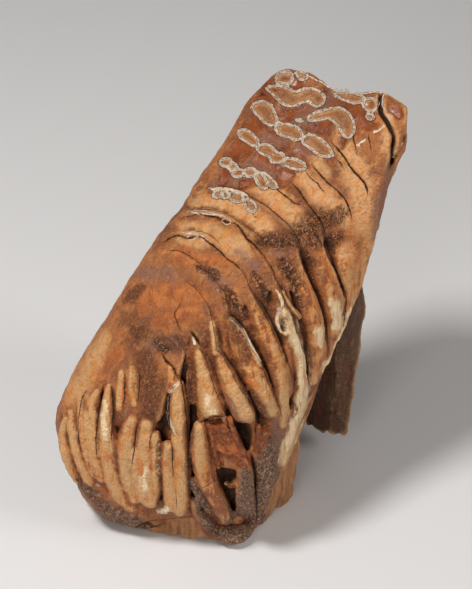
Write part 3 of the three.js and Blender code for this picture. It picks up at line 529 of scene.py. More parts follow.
# ---------------------------------------------------------------- the shape, as distance from the skin
class Field:
    """Distance from the tooth's skin on a grid, negative inside, mm."""

    def __init__(self, low, high, step):
        self.low, self.step = np.array(low, float), step
        self.axes = [np.arange(a, b + step, step) for a, b in zip(low, high)]
        self.values = None

    def like(self, values):
        """Other values on the same grid."""
        made = copy.copy(self)
        made.values = values
        return made

    def mesh(self, window=(slice(None),) * 3):
        return np.meshgrid(*(axis[part] for axis, part in zip(self.axes, window)), indexing="ij", sparse=True)

    def window(self, low, high):
        return tuple(slice(max(0, int((a - start) / self.step)), max(1, int((b - start) / self.step) + 2))
                     for a, b, start in zip(low, high, self.low))

    def sample(self, points):
        shape = self.values.shape
        cell = np.clip((points - self.low) / self.step, 0, np.array(shape) - 1.001).T
        (i, j, k), flat = cell.astype(int), self.values.ravel()
        x, y, z = cell - (i, j, k)
        first = (i * shape[1] + j) * shape[2] + k

        def edge(at):
            return flat[at] * (1 - z) + flat[at + 1] * z

        def side(at):
            return edge(at) * (1 - y) + edge(at + shape[2]) * y

        return side(first) * (1 - x) + side(first + shape[1] * shape[2]) * x

    def slope(self, points):
        """Direction away from the skin."""
        return unit(np.stack([self.sample(points + self.step * axis) - self.sample(points - self.step * axis)
                              for axis in np.eye(3)], axis=1))

    def near_skin(self, reach):
        """Index and places of the grid samples close to the skin, and the outward direction at each."""
        near = np.nonzero(np.abs(self.values) < reach)
        away = []
        for axis in range(3):
            ahead, behind = list(near), list(near)
            ahead[axis] = np.minimum(near[axis] + 1, self.values.shape[axis] - 1)
            behind[axis] = np.maximum(near[axis] - 1, 0)
            away.append(self.values[tuple(ahead)] - self.values[tuple(behind)])
        points = np.stack([axis[i] for axis, i in zip(self.axes, near)], axis=1)
        return near, points, unit(np.stack(away, axis=1).astype(float))

    def seen(self, pixels, low=False):
        """Where the lines of sight through these pixels meet or pass closest to the skin, and the skin's
        outward direction. Low ones may pass it and end over the floor, with no direction."""
        lines = EYE.sight(pixels)
        reach = np.full(len(lines), CAMERA_DISTANCE - CLEAR_OF_TOOTH)
        best, least = reach.copy(), np.full(len(lines), 1e9)
        for _ in range(SIGHT_STEPS):
            points = EYE.place + lines * reach[:, None]
            gap = self.sample(points)
            closer = gap < least - 1e-4
            best[closer], least[closer] = reach[closer], gap[closer]
            gap = np.minimum(gap, points[:, 2] - HOOK_HEIGHT)
            reach += np.where(gap > 0.02, np.maximum(gap * 0.6, 0.15), 0)
        if low:
            missed = self.sample(points) > 1
            return points, np.where(missed[:, None], 0, self.slope(points))
        points = EYE.place + lines * best[:, None]
        return points, self.slope(points)

    def carve(self, points, radii, blend, add=False):
        """Cuts a chain of cones with round ends out of the tooth, or adds it."""
        window = self.window(points.min(0) - radii.max() - 4, points.max(0) + radii.max() + 4)
        x, y, z = self.mesh(window)
        gap = np.inf
        for a, b, ra, rb in zip(points[:-1], points[1:], radii[:-1], radii[1:]):
            span = b - a
            length = max(float(span @ span), 1e-9)
            t = ((x - a[0]) * span[0] + (y - a[1]) * span[1] + (z - a[2]) * span[2]) / length
            t = np.clip(t, 0, 1)
            away = np.sqrt((x - a[0] - t * span[0]) ** 2 + (y - a[1] - t * span[1]) ** 2
                           + (z - a[2] - t * span[2]) ** 2)
            gap = np.minimum(gap, away - (ra + t * (rb - ra)))
        here = self.values[window]
        self.values[window] = smooth_min(here, gap, blend) if add else smooth_max(here, -gap, blend)

    def blurred(self, reach):
        """The field averaged over a cube, whose value on the skin tells crests from hollows."""
        values = np.clip(self.values, -6, 6)
        cells = max(1, int(round(reach / self.step)))
        for axis in range(3):
            line = np.moveaxis(values, axis, 0)
            line = np.concatenate([line[:1]] * (cells + 1) + [line] + [line[-1:]] * cells)
            sums = np.cumsum(line, axis=0, dtype=np.float32)
            values = np.moveaxis((sums[2 * cells + 1:] - sums[:-2 * cells - 1]) / (2 * cells + 1), 0, axis)
        return self.like(values)


def crown_envelope(field):
    """The crown without its grooves: one rounded section after another along X."""
    x, y, z = field.mesh()
    fine = np.arange(SECTIONS[0, 0], SECTIONS[-1, 0] + 0.5, 0.5)
    spread = np.hanning(15) / np.hanning(15).sum()
    curves = []
    for column in range(1, 6):
        curve = np.pad(np.interp(fine, SECTIONS[:, 0], SECTIONS[:, column]), 7, mode="edge")
        curves.append(np.interp(x, fine, np.convolve(curve, spread, mode="valid")))
    top, bottom, left, right, lift = curves
    centre = bottom + 0.42 * (top - bottom)
    across = (y - (left + right) / 2) / ((left - right) / 2)
    tongue_square = np.interp(x, *TONGUE_SQUARE.T)
    cheek_square = 2.2 + 2.3 * smooth_step(25, 60, x)
    up = (z - centre) / (top - centre)
    rise = np.interp(y, *FRONT_TOP.T) * smooth_step(50, 63, x) - lift * across / 2
    up = (z - rise * smooth_step(0, 0.6, up) - centre) / (top - centre)
    up = np.where(up < 0, (z - centre) / (centre - bottom), up).astype(np.float32)
    power = np.where(up < 0, 2.7, np.where(across > 0, tongue_square, cheek_square)).astype(np.float32)
    measure = (np.abs(across) ** power + np.abs(up) ** power) ** (1 / power)
    steepness = np.sqrt(sum(s * s for s in np.gradient(measure, field.step)))
    gap = np.clip((measure - 1) / np.maximum(steepness, 1e-3), -18, 18)
    gap = smooth_max(gap, NEAR_END - x, 6)
    lines = EYE.sight(FOOT_OUTLINE)
    for a, b in zip(lines[:-1], lines[1:]):     # planes through the eye, each along a stretch of outline
        n = np.cross(a, b) / np.linalg.norm(np.cross(a, b))
        n = n if n @ EYE.sight(CROWN_ORIGIN_PIXEL)[0] < 0 else -n
        outside = (x - EYE.place[0]) * n[0] + (y - EYE.place[1]) * n[1] + (z - EYE.place[2]) * n[2]
        gap = smooth_max(gap, outside, 3)
    return smooth_max(gap, x - np.interp(y, *FRONT_END.T), 1.5).astype(np.float32)


def outline_gap(x, y, edge):
    """Distance in a plane from a closed outline, negative inside."""
    nearest = np.full(np.broadcast_shapes(x.shape, y.shape), 1e9, np.float32)
    inside = np.zeros(nearest.shape, bool)
    for (ax, ay), (bx, by) in zip(edge, np.roll(edge, -1, 0)):
        sx, sy = bx - ax, by - ay
        along = np.clip(((x - ax) * sx + (y - ay) * sy) / (sx * sx + sy * sy), 0, 1)
        nearest = np.minimum(nearest, (x - ax - along * sx) ** 2 + (y - ay - along * sy) ** 2)
        inside ^= ((ay > y) != (by > y)) & (x < (bx - ax) * (y - ay) / (by - ay + 1e-12) + ax)
    return np.where(inside, -1, 1) * np.sqrt(nearest)


def add_root(field, ragged, levels, edges):
    """Adds a root whose outline runs from edge to edge, with a torn lower end."""
    edges = np.array(edges)
    low = np.append(edges.min((0, 1)) - 5, levels[0] - 6)
    window = field.window(low, np.append(edges.max((0, 1)) + 5, levels[-1]))
    x, y, z = field.mesh(window)
    gap = np.empty(np.broadcast_shapes(x.shape, y.shape, z.shape), np.float32)
    for k, height in enumerate(z.ravel()):
        edge = [[np.interp(height, levels, way) for way in corner.T] for corner in edges.transpose(1, 0, 2)]
        gap[:, :, k] = outline_gap(x[:, :, 0], y[:, :, 0], np.array(edge))
    points = np.stack(np.broadcast_arrays(x, y, z), axis=-1)
    gap = gap + 1.0 * lumps(points, 14) + 0.5 * lumps(points, 5) + 0.9 * lumps(points * (1, 1, 0.1), 4.5)
    flat = points * (1, 1, 0)
    torn = np.maximum(levels[0] + ragged * (np.abs(lumps(flat, 7)) + 0.8 * lumps(flat, 3.1)), 0)
    field.values[window] = smooth_min(field.values[window], smooth_max(gap, torn - z, 0.8), 2.5)


def uneven_pixels(points, wide=0.7, small=0.35):
    """Pixels of places on the tooth, shifted a little here and there so that nothing drawn is straight."""
    shifts = [np.stack([lumps(points + k, size), lumps(points + 50 + k, size)], axis=1)
              for k, size in ((0, 5), (9, 1.7))]
    return EYE.pixel(points) + wide * shifts[0] + small * shifts[1]


def beside(places, line, margin):
    """Which places lie in a box round the line, with a margin in pixels."""
    low, high = line[:, :2].min(0) - margin, line[:, :2].max(0) + margin
    return np.nonzero(np.all((places > low) & (places < high), axis=1))[0]


def along(places, line):
    """For each place: distance from a line, whether it lies beyond the line, and the line's own value."""
    line = eased(np.column_stack([line, np.zeros(len(line))])[:, :3])
    nearest = np.full(len(places), 1e9)
    beyond, value = np.zeros(len(places), bool), np.zeros(len(places))
    for a, b in zip(line[:-1], line[1:]):
        span, away = b[:2] - a[:2], places - a[:2]
        t = np.clip(away @ span / (span @ span), 0, 1)
        gap = np.hypot(*(away - t[:, None] * span).T)
        closer = gap < nearest
        nearest[closer] = gap[closer]
        beyond[closer] = (span[0] * away[:, 1] - span[1] * away[:, 0] < 0)[closer]
        value[closer] = (a[2] + t * (b[2] - a[2]))[closer]
    return nearest, beyond, value


def tapered(line, value):
    """The line's pixels, with a value that falls to nothing at both ends."""
    run = np.append(0, np.cumsum(np.hypot(*np.diff(line[:, :2], axis=0).T)))
    return np.column_stack([line[:, :2], value * np.minimum(1, 0.15 + np.minimum(run, run[-1] - run) / 9)])


def nearest_crack(places):
    """Distance in pixels across the nearest crack, negative on one side, and the crack's half width there."""
    across, width = np.full(len(places), NO_CRACK), np.zeros(len(places))
    for item in LINES.values():
        if "cut" in item:
            crack = tapered(item["line"], 0.26 + 0.2 * item["cut"][0])
            box = beside(places, crack, 5)
            gap, beyond, wide = along(places[box], crack)
            closer = gap < np.abs(across[box])
            box, gap = box[closer], gap[closer]
            across[box] = np.where(beyond[closer], gap, -gap)
            width[box] = wide[closer] * smooth_step(3.5, 2.0, gap)
    return across, width


def stroke_share(places, drawn, soft=0.6):
    """How much each place lies under strokes of changing half width: 1 inside, fading to 0 outside."""
    share = np.zeros(len(places))
    for stroke in drawn:
        if len(stroke) == 1:
            stroke = np.concatenate([stroke, stroke + (0.01, 0, 0)])
        box = beside(places, stroke, stroke[:, 2].max() * (1 + soft))
        gap, _, half = along(places[box], stroke)
        share[box] = np.maximum(share[box], smooth_step(1 + soft, 1 - soft, gap / half))
    return share


def loops_gap(places):
    """Distance in mm from the nearest enamel loop, negative inside it."""
    gaps = [outline_gap(places[:, 0], places[:, 1], loop) for loop in LOOPS.values()]
    return np.min(gaps, axis=0) / LOOP_PIXELS


def draw_lines(field):
    """Grooves, steps and rims on the side of the crown that the camera sees."""
    near, points, outward = field.near_skin(8)
    facing = smooth_step(0.05, -0.3, outward @ EYE.ahead)
    seen = facing > 0
    near, points, facing = tuple(i[seen] for i in near), points[seen], facing[seen]
    places = uneven_pixels(points)
    steps, cuts, rims = np.zeros((3, len(points)))
    for item in LINES.values():
        reach = item.get("reach", 6)
        box = beside(places, item["line"], reach)
        gap, beyond, drop = along(places[box], item["line"])
        if "reach" in item:
            side = np.where(drop > 0, beyond, ~beyond)
            share = np.clip(1 - gap / reach, 0, 1) ** 1.4 * smooth_step(0, 1.6, gap)
            steps[box] = np.maximum(steps[box], side * np.abs(drop) * share)
        if "cut" in item:
            depth, half = item["cut"]
            taper = along(places[box], tapered(item["line"], 1.0))[2]
            cuts[box] = np.maximum(cuts[box], depth * taper * np.exp(-(gap / (2 * half)) ** 2))
        if "rim" in item:
            height, width = item["rim"]
            rims[box] = np.maximum(rims[box], height * ~beyond * smooth_step(0, 2, gap)
                                   * smooth_step(2 * width, width / 2, gap) * smooth_step(0, 0.5, drop))
    worn = stroke_share(places, STAINS["polish"])
    box = worn > 0
    gap = loops_gap(places[box])
    steps[box] += worn[box] * 0.9 * smooth_step(0.6, 3.6, gap) + 0.7 * smooth_step(-0.6, -2.2, gap)
    coarse = np.max([most * stroke_share(places, STAINS[name], 0.8)
                     for name, most in (("pits", 1), ("grey", 1), ("porous", 0.6))], axis=0)
    grain = coarse * (0.5 * lumps(points, 2.1) + 0.45 * lumps(points, 1.4))
    field.values[near] += (facing * (steps + cuts - rims + grain)).astype(np.float32)


def draw_in(field):
    """Draws the skin in around the near end's fingers, and between the plates on the sides not seen."""
    near, points, outward = field.near_skin(8)
    u, v = EYE.pixel(points).T
    facing = outward @ EYE.ahead < 0.15
    below = smooth_step(-2, 22, v - np.interp(u, *TIP_LINE.T))
    depth = np.interp(u, *TIP_DEPTH.T)
    matrix = smooth_step(480, 500, v) * smooth_step(150, 130, u)      # rough base at the near end stays full
    x, y, z = points.T
    low = np.interp(x, SECTIONS[:, 0], SECTIONS[:, 1]) - z

    def folds(phase):
        return 1 - np.abs(np.sin(np.pi * phase)) ** 0.6

    plates = folds((x - GROOVE_AT + 0.05 * (z - 80) + 0.6 * np.sin(z / 7 + x / 11)) / PLATE_PITCH)
    plates = plates * 4.0 * smooth_step(8, 30, low) * smooth_step(20, 38, y)
    front = smooth_step(0.35, 0.7, outward[:, 0]) * smooth_step(30, 16, y)
    front = folds((y + np.sin(z / 8 + y / 5)) / 8.5) * 1.7 * front * smooth_step(5, 22, low)
    drawn = np.where(facing, depth * below * (1 - 0.85 * matrix), plates + front)
    field.values[near] += drawn.astype(np.float32)


def tooth_shapes():
    """The whole tooth, its crown's and its roots' shares of it, and the crown before anything was cut."""
    crown = Field(SHAPE_LOW, SHAPE_HIGH, GRID_STEP)
    crown.values = crown_envelope(crown)
    envelope = crown.like(crown.values.copy())

    def rooted(item):
        """Centre line and radii of a finger or hollow, set against the envelope."""
        middle = item["line"] if len(item["line"]) == 2 else eased(item["line"])
        on_skin, outward = envelope.seen(middle[:, :2], item["low"])
        return on_skin - outward * (item["deep"] + item["grows"] * middle[:, 2])[:, None], middle[:, 2]

    draw_in(crown)
    draw_lines(crown)
    near, points, _ = crown.near_skin(6)
    crown.values[near] += 0.6 * lumps(points, 16)
    for group, blend, add in ((HOLLOWS, 1.6, False), (FINGERS, 0.9, True), (BREAKS, 0.6, False)):
        for item in group.values():
            crown.carve(*rooted(item), blend, add)
    roots = crown.like(np.full(crown.values.shape, 12, np.float32))
    for root in ROOTS.values():
        add_root(roots, **root)
    whole = crown.like(smooth_min(crown.values, roots.values, 2.0))
    near, points, _ = whole.near_skin(4)
    rough = 1 - 0.95 * stroke_share(EYE.pixel(points), STAINS["polish"], 0.9) * (points[:, 2] > WORN_ABOVE)
    grain = 0.3 * lumps(points, 7) + 0.25 * lumps(points, 3.2) + 0.16 * lumps(points + 20, 1.7)
    whole.values[near] += rough * grain
    whole.values = np.maximum(whole.values, -whole.mesh()[2]).astype(np.float32)
    nearer_root = (crown.values - roots.values) / 2
    shares = [crown.like(np.maximum(whole.values, gap)) for gap in (nearer_root, -nearer_root)]
    return whole, *shares, envelope


# ---------------------------------------------------------------- skin from the field
def skin(field):
    """A net of quads through the places where the field changes sign."""
    f = field.values
    inside = f < 0
    cells = tuple(n - 1 for n in f.shape)
    corners = list(product((0, 1), repeat=3))

    def at(array, corner):
        return array[tuple(slice(c, c + n) for c, n in zip(corner, cells))]

    count = sum(at(inside, c).astype(np.int8) for c in corners)
    mixed = (count > 0) & (count < 8)
    number = np.full(cells, -1, int)
    number[mixed] = np.arange(mixed.sum())
    base = np.argwhere(mixed).astype(float)
    value = {c: at(f, c)[mixed] for c in corners}
    total, crossed_edges = np.zeros((len(base), 3)), np.zeros(len(base))
    for a, b in product(corners, corners):
        if sum(b) != sum(a) + 1 or any(q < p for p, q in zip(a, b)):
            continue
        crossed = (value[a] < 0) != (value[b] < 0)
        t = np.where(crossed, value[a] / np.where(crossed, value[a] - value[b], 1), 0)
        total += np.where(crossed[:, None], np.array(a) + t[:, None] * (np.array(b) - np.array(a)), 0)
        crossed_edges += crossed
    points = field.low + field.step * (base + total / crossed_edges[:, None])
    quads = []
    for axis in range(3):
        others = [c for c in range(3) if c != axis]
        start, end = (inside[tuple(part if c == axis else slice(1, -1) for c in range(3))]
                      for part in (slice(0, -1), slice(1, None)))
        crossings = np.argwhere(start != end)
        leaving = start[tuple(crossings.T)]
        ring = []
        for step in ((0, 0), (1, 0), (1, 1), (0, 1)):
            cell = crossings.copy()
            cell[:, others] += step
            ring.append(number[tuple(cell.T)])
        ring = np.stack(ring, axis=1)
        quads.append(np.where((leaving if axis != 1 else ~leaving)[:, None], ring, ring[:, ::-1]))
    return points, np.concatenate(quads)


def linked(name, data):
    made = bpy.data.objects.new(name, data)
    bpy.context.collection.objects.link(made)
    return made


def mesh_object(name, points, faces):
    mesh = bpy.data.meshes.new(name)
    mesh.vertices.add(len(points))
    mesh.vertices.foreach_set("co", np.ascontiguousarray(points, np.float32).ravel())
    mesh.loops.add(faces.size)
    mesh.loops.foreach_set("vertex_index", np.ascontiguousarray(faces, np.int32).ravel())
    mesh.polygons.add(len(faces))
    mesh.polygons.foreach_set("loop_start", np.arange(0, faces.size, faces.shape[1], dtype=np.int32))
    mesh.polygons.foreach_set("use_smooth", np.ones(len(faces), bool))
    mesh.update(calc_edges=True)
    mesh.validate()
    return linked(name, mesh)


def apply_modifiers(made):
    plain = bpy.data.meshes.new_from_object(made.evaluated_get(bpy.context.evaluated_depsgraph_get()))
    made.modifiers.clear()
    made.data = plain


def thin_out(made, most):
    """Joins triangles where the skin is flattest until the count is low enough."""
    count = sum(len(p.vertices) - 2 for p in made.data.polygons)
    if count > most:
        thin = made.modifiers.new("thin", "DECIMATE")
        thin.ratio = most / count
        thin.use_collapse_triangulate = True
        apply_modifiers(made)


def mark(made, name, values):
    made.data.attributes.new(name, "FLOAT", "POINT").data.foreach_set("value", np.asarray(values, np.float32))


def finger_marks(places):
    """How near each place is to the crest of a finger, and how pale the finger is there."""
    near, pale = np.zeros(len(places)), np.full(len(places), 0.5)
    for item in FINGERS.values():
        tones, crest = item["pale"], item["line"]
        if tones:
            share = stroke_share(places, [crest * (1, 1, 1.25)], 0.75)
            tones = np.interp(np.arange(len(crest)), np.linspace(0, len(crest) - 1, len(tones)), tones)
            box = np.nonzero(share > near)[0]
            pale[box] = along(places[box], np.column_stack([crest[:, :2], tones]))[2]
            near[box] = share[box]
    return near, pale


def mark_tooth(made, points, whole, envelope, blurs, root):
    """Vertex marks that the finish reads. Roots carry no stains."""
    outward = whole.slope(points)
    seen = (1 - root) * smooth_step(0.1, -0.15, outward @ EYE.ahead)
    picked = np.nonzero(seen > 0)[0]
    places, ragged = uneven_pixels(points[picked]), uneven_pixels(points[picked], wide=3.0, small=1.0)

    def mark_seen(name, values, elsewhere=0.0):
        spread = np.full(len(points), elsewhere)
        spread[picked] = values
        mark(made, name, spread)

    for name, drawn in STAINS.items():
        where, soft = (places, 0.35) if name in CRISP_STAINS else (ragged, 0.9)
        mark_seen(name, seen[picked] * stroke_share(where, drawn, soft))
    crests, pale = finger_marks(places)
    mark_seen("finger", seen[picked] * crests)
    mark_seen("pale", pale, elsewhere=0.5)
    gaps = np.full(len(picked), NO_LOOP)
    chewed = places[:, 1] < CHEWED_TO
    gaps[chewed] = loops_gap(places[chewed])
    mark_seen("loop", np.where(seen[picked] > 0.3, gaps, NO_LOOP), elsewhere=NO_LOOP)
    across, width = nearest_crack(places)
    mark_seen("crack", across, elsewhere=NO_CRACK)
    mark_seen("crack_width", seen[picked] * width)
    for name, spread in blurs.items():
        mark(made, name, spread.sample(points))
    # How deep under the uncut crown each place lies; the finish darkens deep places with it as painted shade.
    mark(made, "sunk", -envelope.sample(points))
    mark(made, "fibre", smooth_step(0.75, 0.35, outward[:, 2]))
    mark(made, "root", np.full(len(points), root))
    # How far toward the rear roots each place lies; the finish darkens the rear roots with it as painted
    # shade for the crown's shadow over them.
    mark(made, "far_root_painted_shade", smooth_step(12, 30, points[:, 0]))


def build_tooth():
    whole, crown, roots, envelope = tooth_shapes()
    # Crest and edge tell crests from hollows; the finish paints shade into hollows and highlight onto crests
    # and edges with them.
    blurs = dict(crest=whole.blurred(2.6), edge=whole.blurred(1.3))
    pieces = []
    for name, part, most in (("molar_crown", crown, CROWN_TRIANGLES), ("molar_roots", roots, ROOT_TRIANGLES)):
        points, quads = skin(part)
        for _ in range(2):                               # settle the net onto the skin
            points -= part.slope(points) * np.clip(part.sample(points), -0.5, 0.5)[:, None]
        made = mesh_object(name, (points + FRAME_SHIFT) * MM, quads)
        thin_out(made, most)
        places = np.empty(len(made.data.vertices) * 3)
        made.data.vertices.foreach_get("co", places)
        places = places.reshape(-1, 3) / MM - FRAME_SHIFT
        mark_tooth(made, places, whole, envelope, blurs, float(part is roots))
        pieces.append(made)
    return pieces, whole


# ---------------------------------------------------------------- nodes, used like numbers
class Value:
    """What a node gives, to be added, subtracted or multiplied."""

    def __init__(self, nodes, socket):
        self.nodes, self.socket = nodes, socket

    def __add__(self, other):
        return self.nodes.math("ADD", self, other)

    def __sub__(self, other):
        return self.nodes.math("SUBTRACT", self, other)

    def __rsub__(self, other):
        return self.nodes.math("SUBTRACT", other, self)

    def __mul__(self, other):
        return self.nodes.math("MULTIPLY", self, other)


class Nodes:
    """Adds nodes to a tree and links what they take."""

    def __init__(self, tree):
        self.tree = tree

    def put(self, socket, value):
        if isinstance(value, Value):
            self.tree.links.new(value.socket, socket)
        else:
            socket.default_value = value

    def add(self, kind, inputs=None, out=0, **settings):
        node = self.tree.nodes.new(kind)
        for key, value in settings.items():
            setattr(node, key, value)
        for key, value in (inputs or {}).items():
            self.put(node.inputs[key], value)
        return Value(self, node.outputs[out])

    def math(self, operation, a, b=0.0):
        return self.add("ShaderNodeMath", {0: a, 1: b}, operation=operation)

    def most(self, a, b):
        return self.math("MAXIMUM", a, b)


def around(value, size):
    """Noise between 0 and 1 made to swing about 0."""
    return (value - 0.5) * size


# ---------------------------------------------------------------- finish
PAINTS = {                                     # sRGB
    "cementum": (160, 98, 52), "cementum_deep": (120, 68, 36), "honey": (204, 132, 64),
    # mauve also serves as painted sheen on the worn surface; rust also as painted shade in shallow hollows.
    "polish": (106, 52, 28), "mauve": (132, 90, 72), "orange": (200, 115, 50), "rust": (140, 72, 32),
    # cream also serves as painted highlight on crests and edges; grain brown also as painted shadow by the
    # enamel loops and painted shade in gaps; the pale grain-tip colour is partly painted glint.
    "cream": (208, 160, 107), "ivory": (240, 214, 172), "grain": (46, 25, 14), "grain_tip_and_glint": (186, 128, 86),
    # dark serves as painted shade in hollows, creases and deep places, and colours the cracks.
    "dark": (30, 16, 9), "grey": (136, 98, 77), "grey_light": (200, 164, 134), "white": (232, 216, 190),
    "resin": (108, 50, 16), "amber": (176, 94, 36), "tan": (212, 160, 112), "dusk": (128, 70, 38),
    # The darkest root brown is painted shade: the dark the rear roots take as if in the crown's shadow.
    "root": (178, 122, 74), "root_deep": (146, 94, 54), "root_painted_shade": (60, 34, 17),
    "dentine": (132, 86, 54), "dentine_light": (168, 116, 72), "enamel": (200, 184, 166),
    "enamel_grey": (128, 98, 76),
}


def paint(name):
    return (*[(c / 255 / 12.92) if c < 11 else ((c / 255 + 0.055) / 1.055) ** 2.4 for c in PAINTS[name]], 1)


class Finish(Nodes):
    """A material whose textures are worked out from places on the object, in mm."""

    def __init__(self, name):
        self.material = bpy.data.materials.new(name)
        self.material.use_nodes = True
        super().__init__(self.material.node_tree)
        self.shader = self.tree.nodes["Principled BSDF"]
        place = self.add("ShaderNodeTexCoord", out="Object")
        self.place = self.add("ShaderNodeVectorMath", {0: place, "Scale": 1 / MM}, operation="SCALE")

    def between(self, value, low, high):
        """0 below low, 1 above high, smooth between; falls instead where low is over high."""
        return self.add("ShaderNodeMapRange", {"Value": value, "From Min": low, "From Max": high},
                        interpolation_type="SMOOTHSTEP")

    def blend(self, share, a, b):
        """From a to b, each a value or the name of a paint."""
        a, b = [paint(side) if isinstance(side, str) else side for side in (a, b)]
        return self.add("ShaderNodeMix", {0: share, 6: a, 7: b}, out=2, data_type="RGBA")

    def noise(self, size, stretch=(1, 1, 1), detail=3.0, warp=0.0):
        """Cloudy noise whose lumps are about size mm wide."""
        place = self.add("ShaderNodeVectorMath", {0: self.place, 1: stretch}, operation="MULTIPLY")
        return self.add("ShaderNodeTexNoise", {"Vector": place, "Scale": 1 / size, "Detail": detail,
                                               "Distortion": warp})

    def mark(self, name):
        return self.add("ShaderNodeAttribute", out="Fac", attribute_name=name)

    def finish(self, colour, roughness, relief, height):
        bump = self.add("ShaderNodeBump", {"Height": relief, "Distance": height * MM, "Strength": 1.0})
        for name, value in (("Base Color", colour), ("Roughness", roughness), ("Normal", bump)):
            self.put(self.shader.inputs[name], value)
        return self.material


def fossil_material():
    f = Finish("fossil_tooth")
    blend, between, mark = f.blend, f.between, f.mark
    wide, cloud, mid = f.noise(24), f.noise(7, warp=0.8), f.noise(2.8, detail=4, warp=0.5)
    fine, speck = f.noise(1.2, detail=4), f.noise(0.6, detail=2)
    streak = blend(mark("fibre"), mid, f.noise(2.2, stretch=(1, 1, 0.12), detail=5, warp=0.4))
    worm = f.noise(1.5, stretch=(1, 1, 0.75), detail=2, warp=1.3)
    loose = around(cloud, 0.7) + (around(mid, 0.9) + around(fine, 0.5))

    def share(name, low=0.2, high=1.0, most=1.0):
        """A mark with its edge broken up."""
        return between(mark(name) + loose, low, high) * between(mark(name), 0.02, 0.3) * most

    def either(texture, low, high, one, two):
        return blend(between(texture, low, high), one, two)

    def tint(colour, name, texture, low, high, most):
        return blend(between(texture, low, high) * most, colour, name)

    colour = either(wide, 0.35, 0.65, "cementum_deep", "cementum")
    colour = tint(colour, "honey", cloud, 0.46, 0.75, 0.6)
    colour = tint(colour, "orange", mid, 0.5, 0.75, 0.5)
    colour = blend(share("orange", most=0.85), colour, either(cloud, 0.35, 0.7, "orange", "rust"))
    colour = blend(share("tan", most=0.95), colour, either(mid, 0.35, 0.7, "tan", "honey"))
    polish = share("polish")
    colour = blend(polish, colour, either(cloud, 0.3, 0.7, "polish", "rust"))
    # Mauve: partly painted sheen on the worn surface, partly the tooth's own purple-brown.
    colour = blend(share("mauve", most=0.75), colour, "mauve")
    # Finger tone; the crest term makes it paler on crests, a painted highlight.
    pale = mark("pale") + (around(streak, 2.4) + around(cloud, 1.6)) + mark("crest") * 0.35
    bone = blend(between(pale, 0.4, 1.0), either(pale, 0.1, 0.55, "rust", "honey"), "cream")
    fingers = between(mark("finger") + loose * 0.6, 0.15, 0.9)
    colour = blend(fingers * 0.92, colour, bone)
    colour = blend(share("cream", 0.1, 1.0, 0.75), colour,
                   either(cloud + around(streak, 0.7), 0.4, 0.75, "cream", "honey"))
    colour = blend(share("ivory", 0.2, 0.9, 0.9), colour, either(streak, 0.45, 0.7, "ivory", "cream"))
    grey = share("grey", 0.25, 0.9)
    colour = blend(grey, colour, either(fine, 0.4, 0.72, "grey", "grey_light"))
    resin = share("resin", 0.3, 0.6)
    colour = blend(resin, colour, either(mid + around(cloud, 0.8), 0.34, 0.74, "resin", "amber"))
    colour = blend(share("spots", 0.3, 0.6, 0.75), colour, "orange")
    # Root colour, blended toward dark brown at the rear roots as painted shade.
    root = blend(mark("far_root_painted_shade") * 0.85, either(streak, 0.4, 0.65, "root", "root_deep"), "root_painted_shade")
    colour = blend(mark("root"), colour, root)

    loop = mark("loop") + around(fine, 0.7)     # mm out from an enamel loop, with the dentine inside it
    enamel = either(fine, 0.4, 0.6, "enamel", "enamel_grey")
    dentine = either(mark("loop") + around(mid, 2.0), -1.2, -3.2, "dentine_light", "dentine")
    # From outside in: a dark grain-brown outline, the enamel, a dark band just inside that is painted shadow
    # of the enamel ridges, then the dentine.
    for low, high, shown in ((1.1, 0.75, "grain"), (0.72, 0.5, enamel), (-0.4, -0.6, "grain"),
                             (-0.55, -0.95, dentine)):
        colour = blend(between(loop, low, high), colour, shown)
    colour = blend(share("white", 0.35, 0.7, 0.95), colour, "white")
    shade = around(streak, 1.0) + (around(fine, 0.7) + around(speck, 0.4))
    colour = tint(colour, "cementum_deep", shade, 0.05, 0.45, 0.42)
    colour = tint(colour, "ivory", shade, -0.08, -0.5, 0.34)

    porous, pits = share("porous", 0.1, 1.0), share("pits", 0.1, 0.9)
    colour = blend(f.most(porous, pits) * 0.45, colour, "dusk")

    def grained(leather, pitted, rough):
        """How strongly the leathery, pitted and grey ground take something."""
        return f.most(f.most(porous * leather, pits * pitted), grey * rough)

    groove = between(f.math("ABSOLUTE", worm - 0.5), 0.075, 0.015)
    # Paler tips where the relief of the leathery, pitted and grey ground stands highest: partly pale grains,
    # partly painted glints.
    colour = blend(grained(0.3, 0.75, 0.4) * between(worm, 0.56, 0.65), colour, "grain_tip_and_glint")
    colour = blend(grained(0.5, 0.95, 0.7) * groove, colour, "grain")
    coarse = grained(0.7, 1.0, 1.0)

    crest, edge = mark("crest") + around(fine, 0.5), mark("edge") + around(fine, 0.25)
    bare, lit = 1.0 - f.most(resin, grey * 0.7), 1.0 - grey * 0.5
    # Painted highlight: cream on sharp edges and on crests, except on resin and grey.
    colour = tint(colour, "cream", edge * bare, 0.12, 0.6, 0.5)
    colour = tint(colour, "cream", crest * bare, 0.25, 1.0, 0.25)
    # Painted shade: rust, then dark brown, deeper into hollows and narrow creases, and where the skin lies
    # deep under the uncut crown.
    colour = tint(colour, "rust", crest, 0.0, -0.6, 0.65)
    colour = tint(colour, "dark", crest * lit, -0.3, -1.5, 0.85)
    colour = tint(colour, "dark", edge * lit, -0.15, -0.6, 0.6)
    colour = tint(colour, "dark", mark("sunk") + loose * 2, 3.5, 8.5, 0.8)
    # Dark porous patches, and painted shade in gaps and hollows, laid in grain brown.
    dark = share("dark", 0.1, 1.4) * between(worm + around(speck, 0.3), 0.64, 0.44)
    colour = blend(dark * 0.75, colour, "grain")
    across = f.math("ABSOLUTE", mark("crack")) + around(fine, 0.9)
    crack = between(across - mark("crack_width"), 0.05, -0.25) * between(mark("crack_width"), 0.05, 0.3)
    colour = blend(crack * 0.9, colour, either(mid, 0.4, 0.6, "dark", "grain"))

